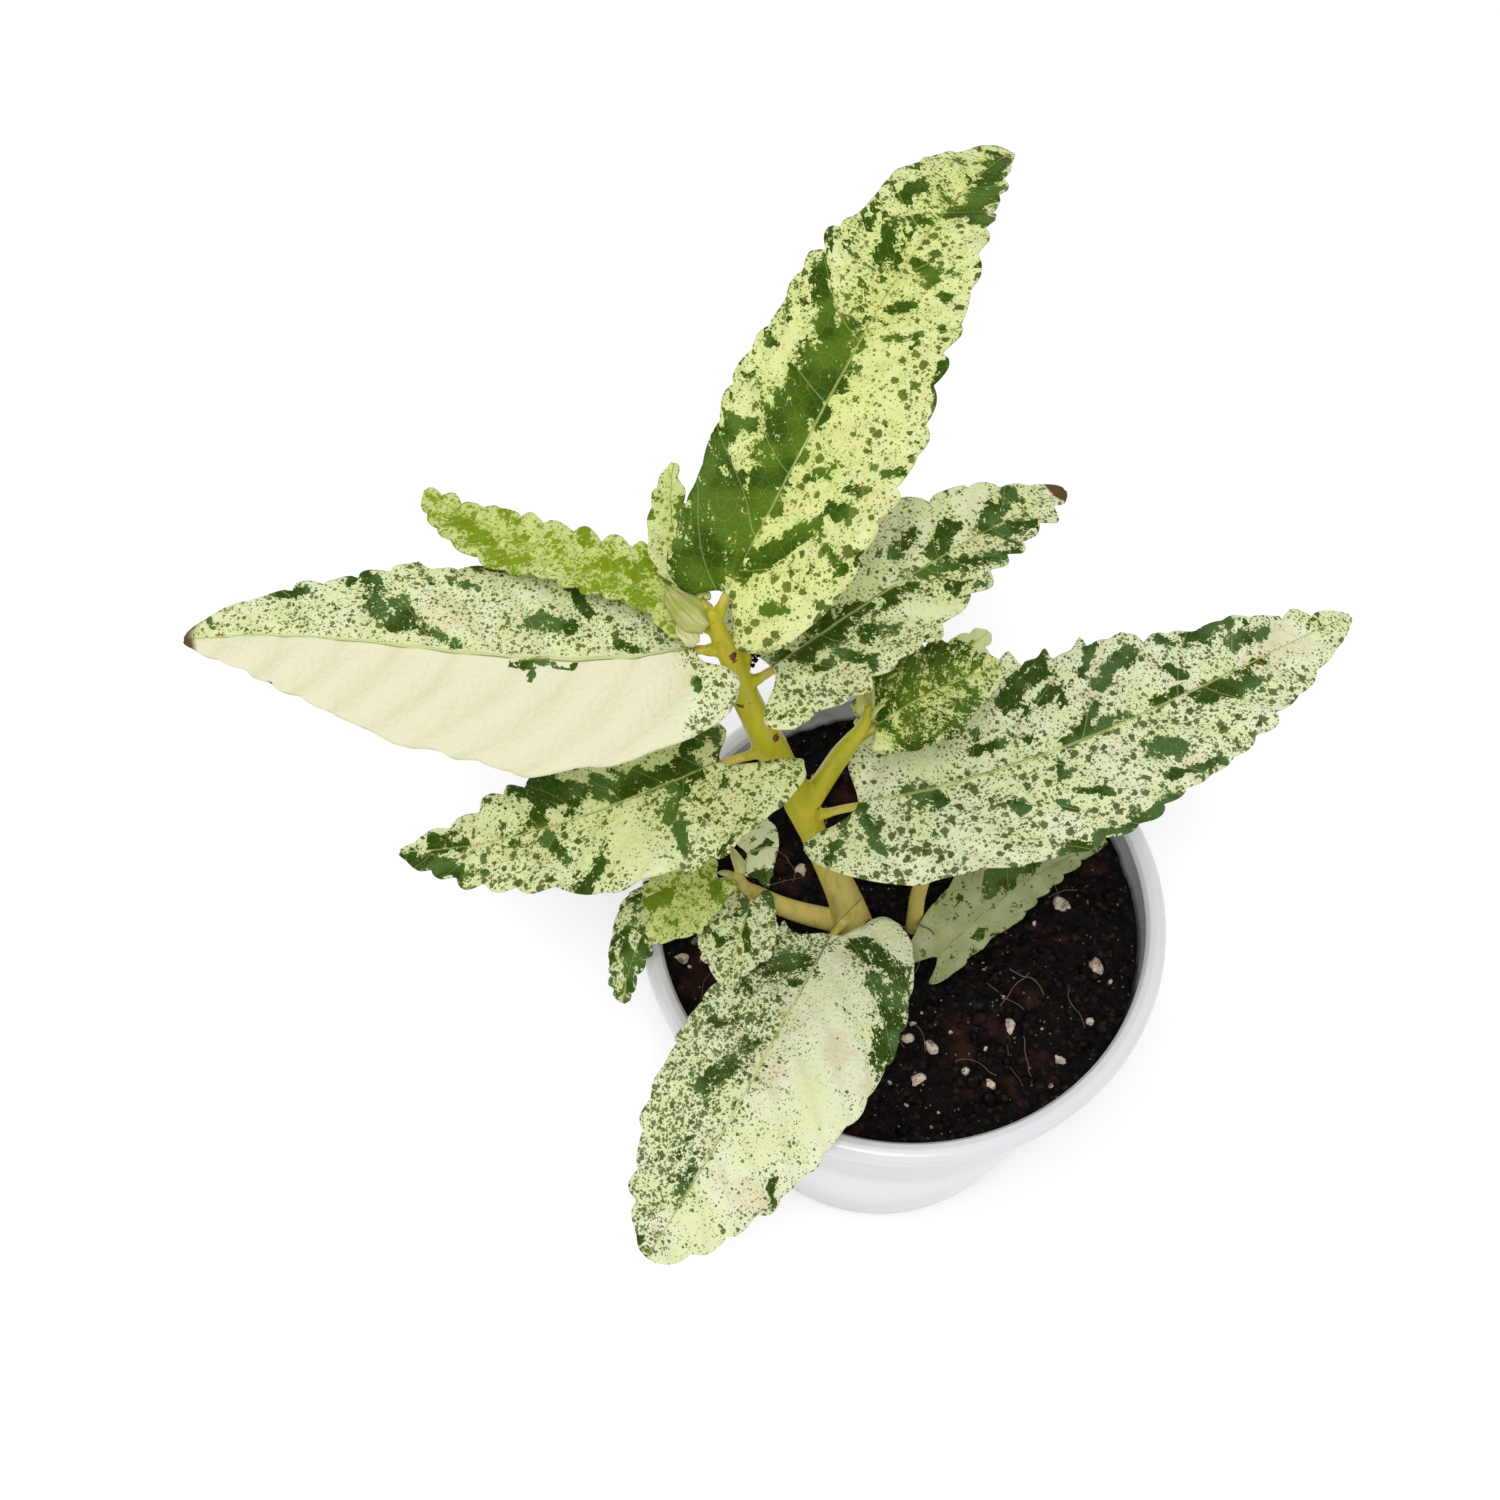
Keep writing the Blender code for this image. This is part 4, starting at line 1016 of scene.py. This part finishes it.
class Blade:
    """The places of a blade's upper skin, worked out from the leaf's sizes for a grid of points."""

    def __init__(self, spec, seed, share, across):
        self.spec = spec
        self.seed = seed
        self.share = share
        self.across = across
        self.out = np.abs(across)
        self.sign = np.where(across >= 0, 1.0, -1.0)
        self.flat_along, self.flat_reach = flat_place(spec, share, across)
        self.cut_teeth()
        self.aside = self.reach * self.sign
        self.place_veins()
        self.lumps = self.roll(0.16, seed * 3.1, 0.2)
        self.pucker = self.roll(0.5, seed * 1.7)
        self.cluster = self.roll(0.32, seed + 6.5)

    def pick(self, key):
        return pick(self.spec, key, self.across)

    def roll(self, scale, key, side_scale=None):
        """Smooth random heights over the blade."""
        return rolling(self.along * scale, self.aside * (side_scale or scale), key)

    def before_tip(self, slope):
        """A value of 1 that falls to 0 at the tip, the faster the larger the slope."""
        return ramp((1 - self.share) * slope)

    def cut_teeth(self):
        """Finds the distances along the blade and out from its midrib, and the edge's frill."""
        spec, share, out = self.spec, self.share, self.out
        shift = np.where(self.across >= 0, 0.0, 1.0)
        phase = spec["teeth"] * share + 0.5 * shift
        phase = phase + 0.22 * np.sin(10.7 * share + self.seed + 2.0 * shift)
        number = np.floor(phase)
        size = 0.2 + 1.3 * chance(number, self.across >= 0, self.seed) ** 1.5
        tooth = np.sin(math.pi * (phase - number)) ** 0.75 - 0.5
        ends = ramp(share * 10) * self.before_tip(10)
        cut = ramp((out - 0.6) / 0.4) ** 1.5 * ends * size * tooth
        self.along = self.flat_along + cut * spec["length"] / spec["teeth"] * TOOTH_SLANT
        self.reach = np.abs(self.flat_reach) + cut * self.pick("tooth") * TOOTH_DEPTH
        for spot, side, size in spec["hooks"]:
            near = np.exp(-((share - spot) * spec["length"] / HOOK_WIDTH) ** 2)
            hook = size * near * (self.sign == side) * out ** 6
            self.reach = self.reach + hook
            self.along = self.along + 0.7 * hook
        swing = rolling(self.flat_along * 0.17, self.sign * 4.0, self.seed * 2.3)
        swing = EDGE_SWING * swing * ramp(share * 6) * self.before_tip(4)
        self.reach = self.reach + swing * out ** 2
        self.frill = 0.3 * self.pick("tooth") * out ** 5 * np.sin(2 * math.pi * phase + 1) * ends

    def place_veins(self):
        """Finds how far apart the side veins are, and their numbers, which are whole on a vein."""
        self.spacing = self.spec["length"] / (self.spec["laterals"] + 0.5)
        forward = (0.62 + 0.5 * self.out) * self.reach * (1 - 0.35 * self.share)
        number = (self.flat_along - forward) / self.spacing + np.where(self.across >= 0, 0.2, 0.7)
        self.lateral = number + 0.3 * self.roll(0.09, self.seed * 5.3, 0.07)

    def relief(self):
        """How far the skin rises over the folded blade."""
        swell = 0.5 - 0.5 * np.cos(2 * math.pi * self.lateral)
        rise = ramp(self.out * 3) * self.before_tip(6)
        bulge = self.pick("quilt") * (swell ** 0.8 - 0.5) * rise * (1 - 0.6 * self.out ** 3)
        groove = GROOVE_DEPTH * np.exp(-(self.reach / GROOVE_WIDTH) ** 2) * (1 - 0.5 * self.share)
        shoulder = SHOULDER_RISE * (1 - np.exp(-self.reach / SHOULDER_WIDTH)) * self.before_tip(6)
        ripple = np.sin(2 * math.pi * (self.spec["waves"] * self.share
                                       + np.where(self.across >= 0, 0, 0.37)))
        ripple = self.spec["wave"] * self.out ** 2 * ripple * self.before_tip(4)
        return (ripple + bulge + shoulder - groove + LUMP_RISE * self.lumps * self.out
                + PUCKER_RISE * self.pucker + self.frill)

    def points(self):
        """The points of the upper skin."""
        fold = np.radians(self.pick("fold") * np.clip((1 - self.share) * 4, 0.3, 1))
        place, side, upper = midrib(self.spec, self.along)
        rise = self.reach * np.sin(fold) + self.relief()
        return place + side * (self.aside * np.cos(fold))[:, None] + upper * rise[:, None]

    def thickness(self):
        """The blade's thickness as a share of the midrib's."""
        return THIN_SHARE + (1 - THIN_SHARE) * np.exp(-(self.reach / 0.8) ** 2) * (1 - self.share)

    def marks(self):
        """The values that the material reads."""
        spec, seed, share = self.spec, self.seed, self.share
        still = 0 * share
        blend = spec["blend"]
        wander = rolling(self.flat_along * 0.3, self.flat_reach * 0.3, seed + 8.5)
        left_share = ease(self.flat_reach + 0.5 * blend * wander, -blend, blend)

        def blended(key):
            return spec[key][1] + (spec[key][0] - spec[key][1]) * left_share

        along = self.flat_along + 0.9 * self.lumps + 0.5 * self.roll(1.1, seed + 4.5)
        reach = self.flat_reach + 0.9 * self.roll(0.3, seed + 9.5) + 0.5 * self.roll(1.0, seed + 7.5)
        inside, bare, dusty = (strokes(spec, key, along, reach) for key in ("patches", "bare", "dusty"))
        green = 0.35 * blended("green") + 0.3 * self.roll(0.2, seed + 2.5)
        green = green * (1 - bare) - 0.45 * bare
        crowd = blended("speckle") * (1 - 0.6 * bare) + 0.45 * self.cluster + 0.3 * inside
        spots = blended("spots") * (1 - 0.8 * bare) + 0.3 * self.cluster
        vein_place = self.lateral * self.spacing + seed * 97.0
        return {
            "blade": np.stack([self.along + seed * 113.0, self.aside + seed * 71.0, still], 1),
            "vein": np.stack([vein_place, 0.55 * self.aside + seed * 41.0, still], 1),
            "green": green * (1 - inside) + 0.36 * inside,
            "crowd": crowd + (1.7 - crowd) * dusty,
            "spots": spots + (0.8 - spots) * dusty,
            "fleck": blended("fleck") + 0.3 * self.cluster,
            "ivory": blended("ivory") * (1 - dusty),
            "tone": 0.5 + 0.4 * self.roll(0.24, seed + 1.5) + 0.15 * self.pucker,
            "cloud": 0.5 + 0.4 * self.roll(0.15, seed + 3.5) + 0.1 * self.pucker,
            "warm": spec["warm"] * ramp(1.15 - 0.45 * self.out - 0.25 * share),
            "fresh": still + spec["fresh"],
            # Painted shade for a leaf low in the plant
            "haze": spec["haze"] * (0.8 + 0.2 * self.cluster),
            "aside": self.aside / (1 - 0.55 * share),
            "lateral": self.lateral,
            "dry": spec["tip"] * ease(share, 0.93, 1.0),
        }


def build_blade(name, spec, seed, skins):
    """A leaf's blade, thicker under the midrib."""
    share, across, faces = sheet_grid(ROWS_PER_TOOTH * spec["teeth"], 2 * spec["columns"])
    blade = Blade(spec, seed, share, np.sign(across) * np.abs(across) ** CROWDING)
    item = add_mesh(name + "_blade", blade.points(), faces)
    item.data.flip_normals()
    for key, numbers in blade.marks().items():
        add_values(item, key, numbers)
    group = item.vertex_groups.new(name="thickness")
    levels = (blade.thickness() * THICKNESS_LEVELS).astype(int)
    for level in range(THICKNESS_LEVELS):
        inside = np.where(levels == level)[0]
        group.add(inside.tolist(), (level + 0.5) / THICKNESS_LEVELS, "REPLACE")
    solid = item.modifiers.new("thickness", "SOLIDIFY")
    solid.thickness = MIDRIB_THICKNESS * MM
    solid.offset = -1.0
    solid.vertex_group = "thickness"
    solid.material_offset = 1
    solid.material_offset_rim = 1
    for skin in skins:
        item.data.materials.append(skin)
    bake(item)
    item.data.shade_smooth()
    finish_piece(item, skins, LEAF_SLOT.get(name, "leaf_variegated"), name)


def build_stalk(name, spec, skin):
    """A leafstalk that runs on under the blade."""
    middle, skin_end, base = stalk_ends(spec)
    share, depth, radius = np.transpose(STALK_RUN)
    place, side, upper = midrib(spec, share * spec["length"])
    thick = stalk_radius(spec)
    points = [skin_end, skin_end * 0.45 + base * 0.55]
    points += list(place - upper * (depth * thick - STALK_LIFT)[:, None])
    radii = thick * np.array([*STALK_FREE, *radius])
    stalk = shoot(name + "_stalk", points, radii, steps=6, sides=16)
    count = len(stalk.data.vertices)
    add_values(stalk, "scar", np.zeros(count))
    add_values(stalk, "pale", np.full(count, 0.5))
    finish_piece(stalk, [skin], "stem_green", name)


def build_sheaths(skin):
    """Thin pale sheaths that clasp the stem where the leaves leave it."""
    share, across, faces = sheet_grid(*SHEATH_GRID)
    sheets = []
    for number, (foot, tip, half, arch, blunt, cream) in enumerate(SHEATHS):
        run = np.array(tip) - foot
        length = float(np.linalg.norm(run))
        side = np.cross(run, (0, 0, 1))
        side /= np.linalg.norm(side)
        upper = np.cross(side, run / length)
        wide = half * (0.45 + 0.55 * ease(share, 0.0, 0.25)) * (1 - share ** blunt) ** 0.7
        crinkle = 0.25 * rolling(share * 3, across * 2, number + 0.5)
        pleats = 0.10 * half * share * np.cos(across * 10)
        rise = arch * np.sin(math.pi * share) - 0.4 * half * across ** 2 + crinkle + pleats
        points = foot + np.outer(share, run) + np.outer(across * wide, side) + np.outer(rise, upper)
        sheet = add_mesh("sheath_%d" % number, points, faces)
        flat = np.stack([share * length + 9.0 * number, across * half, 0 * share], 1)
        add_values(sheet, "blade", flat)
        add_values(sheet, "cream", 0 * share + cream)
        sheets.append(sheet)
    item = merge(sheets, "sheaths")
    solid = item.modifiers.new("thickness", "SOLIDIFY")
    solid.thickness = SHEATH_THICKNESS * MM
    solid.offset = 0.0
    bake(item)
    finish_piece(item, [skin], "leaf_cream")


def build_stub_crumbs(peat):
    """Dark crumbs on the end of the cut stub."""
    lumps = [(place, radius, number + 5, 0.0, (1.0, 1.0, 1.0))
             for number, (place, radius) in enumerate(STUB_CRUMBS)]
    build_lumps("stub_crumbs", lumps, rough=0.6, detail=3, material=peat)


def build_hairs(fibre):
    """Loose roots that lie across the foot of the plant."""
    strands = [shoot("hair_%d" % number, points, [radius] * len(points), steps=8, sides=8)
               for number, (points, radius) in enumerate(HAIRS)]
    finish_piece(merge(strands, "root_hairs"), [fibre], "peat")


# Pot

def wall_radius(height):
    """Outer radius of the pot's wall at a height."""
    return BASE_RADIUS + (WALL_TOP_RADIUS - BASE_RADIUS) * height / WALL_TOP


def pot_profile():
    """The pot's section: up the inside from the floor, over the lip and down the outside."""
    inset, step = FLOOR_CORNER
    inside = [(0.0, FLOOR), (DRAIN_MIDDLE, FLOOR), (wall_radius(FLOOR) - WALL - inset, FLOOR),
              (wall_radius(FLOOR + step) - WALL, FLOOR + step),
              (wall_radius(WALL_MIDDLE) - WALL, WALL_MIDDLE),
              (wall_radius(WALL_TOP) - WALL, WALL_TOP - 0.5)]
    lip = [(RIM_RADIUS + out, POT_HEIGHT + rise) for out, rise in LIP]
    inset, step = BASE_CORNER
    outside = [(wall_radius(height), height) for height in (WALL_TOP, WALL_MIDDLE, step)]
    return inside + lip + outside + [(BASE_RADIUS - inset, 0.0), (DRAIN_MIDDLE, 0.0), (0.0, 0.0)]


def turned(name, profile, steps):
    """A solid turned about Z from a profile of (radius, height) points."""
    mesh = bpy.data.meshes.new(name)
    points = [(radius * MM, 0.0, height * MM) for radius, height in profile]
    mesh.from_pydata(points, [(i, i + 1) for i in range(len(points) - 1)], [])
    item = add_object(name, mesh)
    screw = item.modifiers.new("turn", "SCREW")
    screw.steps = steps
    screw.render_steps = steps
    screw.use_merge_vertices = True
    screw.merge_threshold = 0.00001
    bake(item)
    return item


def drain_cutter():
    """A ring of round bars where the base is pierced."""
    bars = []
    for number in range(DRAIN_HOLES):
        angle = 2 * math.pi * (number + 0.5) / DRAIN_HOLES
        x, y = DRAIN_RING * math.cos(angle), DRAIN_RING * math.sin(angle)
        bars.append(tube("drain_%d" % number, [(x, y, -5), (x, y, 2), (x, y, 8)],
                         [DRAIN_RADIUS] * 3, sides=24))
    return merge(bars, "drain_holes")


def build_pot(material):
    """The pot, pierced and with its edges rounded off."""
    pot = turned("pot_shell", pot_profile(), POT_STEPS)
    cutter = drain_cutter()
    cut = pot.modifiers.new("drain", "BOOLEAN")
    cut.operation = "DIFFERENCE"
    cut.object = cutter
    round_off = pot.modifiers.new("edges", "BEVEL")
    round_off.width = POT_EDGE * MM
    round_off.segments = 2
    round_off.limit_method = "ANGLE"
    round_off.angle_limit = math.radians(ROUNDED_ABOVE)
    bake(pot)
    bpy.data.objects.remove(cutter, do_unlink=True)
    pot.data.shade_smooth()
    pot.data.set_sharp_from_angle(angle=math.radians(SHARP_ABOVE))
    places = points_of(pot)
    inside = np.hypot(places[:, 0], places[:, 1]) < wall_radius(places[:, 2]) - WALL / 2
    add_values(pot, "dust", ease(places[:, 2], POT_HEIGHT - 1, SOIL_TOP - 1) * inside)
    finish_piece(pot, [material], "white_plastic", "pot")


# Soil

def soil_height(x, y):
    """Height of the crumbly surface."""
    place = Vector((x, y, 0.0))
    clods = noise.fractal(place * 0.11, 0.9, 2.0, 3) * 1.0
    lumps, _ = noise.voronoi(place * 0.42 + Vector((3.1, 7.7, 1.3)))
    crumbs, _ = noise.voronoi(place * 1.05 + Vector((8.4, 2.2, 4.9)))
    fine = noise.fractal(place * 1.3, 0.8, 2.0, 3) * 0.22
    return SOIL_TOP + clods + (0.45 - lumps[0]) * 1.1 + (0.4 - crumbs[0]) * 0.55 + fine


def build_soil(material):
    """A closed block of peat with a crumbly top."""
    rings = int(SOIL_RADIUS / SOIL_STEP)
    turn = np.linspace(0, 2 * math.pi, SOIL_ANGLES, endpoint=False)
    points = [(0, 0, soil_height(0, 0))]
    for radius in SOIL_RADIUS * (np.arange(1, rings + 1) / rings) ** 0.8:
        climb = SOIL_CLIMB * ease(radius, CLIMB_START, CLIMB_END)
        for a in turn:
            x, y = radius * math.cos(a), radius * math.sin(a)
            points.append((x, y, soil_height(x, y) + climb))
    foot = (SOIL_FOOT, wall_radius(SOIL_FOOT) - WALL - FLOOR_CORNER[0])
    for height, radius in (SOIL_SHOULDER, foot):
        points += [(radius * math.cos(a), radius * math.sin(a), height) for a in turn]
    starts = range(1, len(points), SOIL_ANGLES)
    pairs = [(j, (j + 1) % SOIL_ANGLES) for j in range(SOIL_ANGLES)]
    faces = [(0, 1 + j, 1 + k) for j, k in pairs]
    for low, high in zip(starts, starts[1:]):
        faces += [(low + j, high + j, high + k, low + k) for j, k in pairs]
    faces.append(tuple(starts[-1] + j for j in reversed(range(SOIL_ANGLES))))
    finish_piece(add_mesh("soil_peat", points, faces), [material], "peat", "soil")


def unit_ball(detail):
    """The points of a ball of radius 1 and its triangles."""
    ball = bmesh.new()
    bmesh.ops.create_icosphere(ball, subdivisions=detail, radius=1.0)
    ball.verts.index_update()
    points = np.array([vert.co for vert in ball.verts])
    faces = np.array([[vert.index for vert in face.verts] for face in ball.faces])
    ball.free()
    return points, faces


def build_lumps(name, lumps, rough, detail, material):
    """Rough lumps as one piece. A lump is a place, a radius, a seed, a spin and its stretches."""
    ways, triangles = unit_ball(detail)
    points, faces = [], []
    for number, (place, radius, seed, spin, stretch) in enumerate(lumps):
        shift = Vector((seed * 3.7, seed * 1.3, 0.5))
        push = np.array([noise.fractal(Vector(way) * 1.6 + shift, 0.8, 2.0, 3) for way in ways])
        a, b, c = (ways * (radius * (1 + rough * push))[:, None] * stretch).T
        across = a * math.cos(spin) - b * math.sin(spin)
        along = a * math.sin(spin) + b * math.cos(spin)
        points.append(np.stack([across, along, c], 1) + place)
        faces.append(triangles + number * len(ways))
    item = add_mesh(name, np.vstack(points), np.vstack(faces).tolist())
    finish_piece(item, [material], "peat")


def scatter(name, draws, rough, detail, material):
    """Lumps pressed into the soil. A draw is a place, a radius, a height share and a stretch."""
    lumps = []
    for number, (x, y, radius, sink, stretch) in enumerate(draws):
        place = (x, y, soil_height(x, y) + sink * radius)
        lumps.append((place, radius, number + 1, chance(number, 3) * 6.28, (stretch, 1.0, 0.8)))
    build_lumps(name, lumps, rough, detail, material)


def add_draws(draw, draws, rule):
    """Adds random draws by a rule until there are enough."""
    count, half, limit, smallest, spread, rarity, sinks, stretches = rule
    while len(draws) < count:
        x, y = draw.uniform(-half, half, 2)
        size = smallest + spread * draw.random() ** rarity
        if math.hypot(x, y) < limit - size:
            draws.append((x, y, size, draw.uniform(*sinks), draw.uniform(*stretches)))
    return draws


def build_grains(perlite, peat, fibre):
    """Perlite grains, crumbs and fibres on the soil."""
    draw = np.random.default_rng(RANDOM_SEED)
    grains = [(x, y, size, GRAIN_SINK, 0.6 + 0.2 * draw.random()) for x, y, size in LARGE_GRAINS]
    scatter("soil_perlite", add_draws(draw, grains, GRAINS), rough=0.2, detail=3, material=perlite)
    scatter("soil_crumbs", add_draws(draw, [], CRUMBS), rough=0.55, detail=2, material=peat)
    strands = []
    for number in range(FIBRES):
        x, y = draw.uniform(-FIBRE_AREA, FIBRE_AREA, 2)
        heading = draw.uniform(0, 2 * math.pi)
        points = []
        for step in range(FIBRE_POINTS):
            points.append((x, y, soil_height(x, y) + 0.25 + 0.3 * draw.random()))
            heading += draw.uniform(-FIBRE_BEND, FIBRE_BEND)
            x += FIBRE_STEP * math.cos(heading)
            y += FIBRE_STEP * math.sin(heading)
        if max(math.hypot(*point[:2]) for point in points) < FIBRE_LIMIT:
            radii = [0.04 + 0.06 * draw.random()] * FIBRE_POINTS
            strands.append(shoot("strand_%d" % number, points, radii, steps=4, sides=6))
    finish_piece(merge(strands, "soil_fibres"), [fibre], "peat")


# Studio

def build_floor():
    """A plain pale floor."""
    half = STUDIO_HALF
    floor = add_mesh("floor", [(-half, -half, 0), (half, -half, 0), (half, half, 0), (-half, half, 0)],
                     [(0, 1, 2, 3)])
    paint = Shading("floor_paint")
    tone = paint.noise(paint.place(), 0.01)
    paint.set(Base_Color=paint.mix(tone, FLOOR_SHADE, FLOOR_WHITE), Roughness=0.9)
    floor.data.materials.append(paint.material)


def build_lights():
    """An even sky and soft lamps."""
    world = bpy.data.worlds.new("studio")
    world.use_nodes = True
    sky = world.node_tree.nodes["Background"]
    sky.inputs["Color"].default_value = (1.0, 1.0, 1.0, 1.0)
    sky.inputs["Strength"].default_value = SKY_STRENGTH
    bpy.context.scene.world = world
    for name, (place, size, power) in LAMPS.items():
        lamp = bpy.data.lights.new(name, "AREA")
        lamp.shape = "SQUARE"
        lamp.size = size * MM
        lamp.energy = power
        holder = add_object(name, lamp)
        holder.location = Vector(place) * MM
        aim = Vector(LAMP_AIM) * MM - holder.location
        holder.rotation_euler = aim.to_track_quat("-Z", "Y").to_euler()


def build_camera():
    """The camera at the photograph's viewing angle."""
    lens = bpy.data.cameras.new("camera")
    lens.lens = CAMERA_LENS
    lens.sensor_width = CAMERA_SENSOR
    camera = add_object("camera", lens)
    camera.location = Vector(CAMERA_PLACE) * MM
    camera.rotation_euler = (math.radians(90 - CAMERA_DOWN), 0.0, 0.0)
    bpy.context.scene.camera = camera
    bpy.context.scene.view_settings.view_transform = "Standard"


def main():
    """Builds the materials, the plant in its pot, and the studio."""
    skins = [leaf_material("leaf_underside", True), leaf_material("leaf_skin", False)]
    stem_skin = stem_material()
    peat = soil_material()
    build_pot(pot_material())
    build_soil(peat)
    fibre = fibre_material()
    build_grains(perlite_material(), peat, fibre)
    build_stem("stem_skin", ("main", "left", "right", "stub"), stem_skin, "stem")
    build_stem("second_stem_skin", ("second",), stem_skin, "second_stem")
    build_sheaths(sheath_material())
    build_hairs(fibre)
    build_stub_crumbs(peat)
    for seed, (name, spec) in enumerate(LEAVES.items(), start=1):
        build_blade(name, spec, seed, skins)
        build_stalk(name, spec, stem_skin)
    build_floor()
    build_lights()
    build_camera()


main()
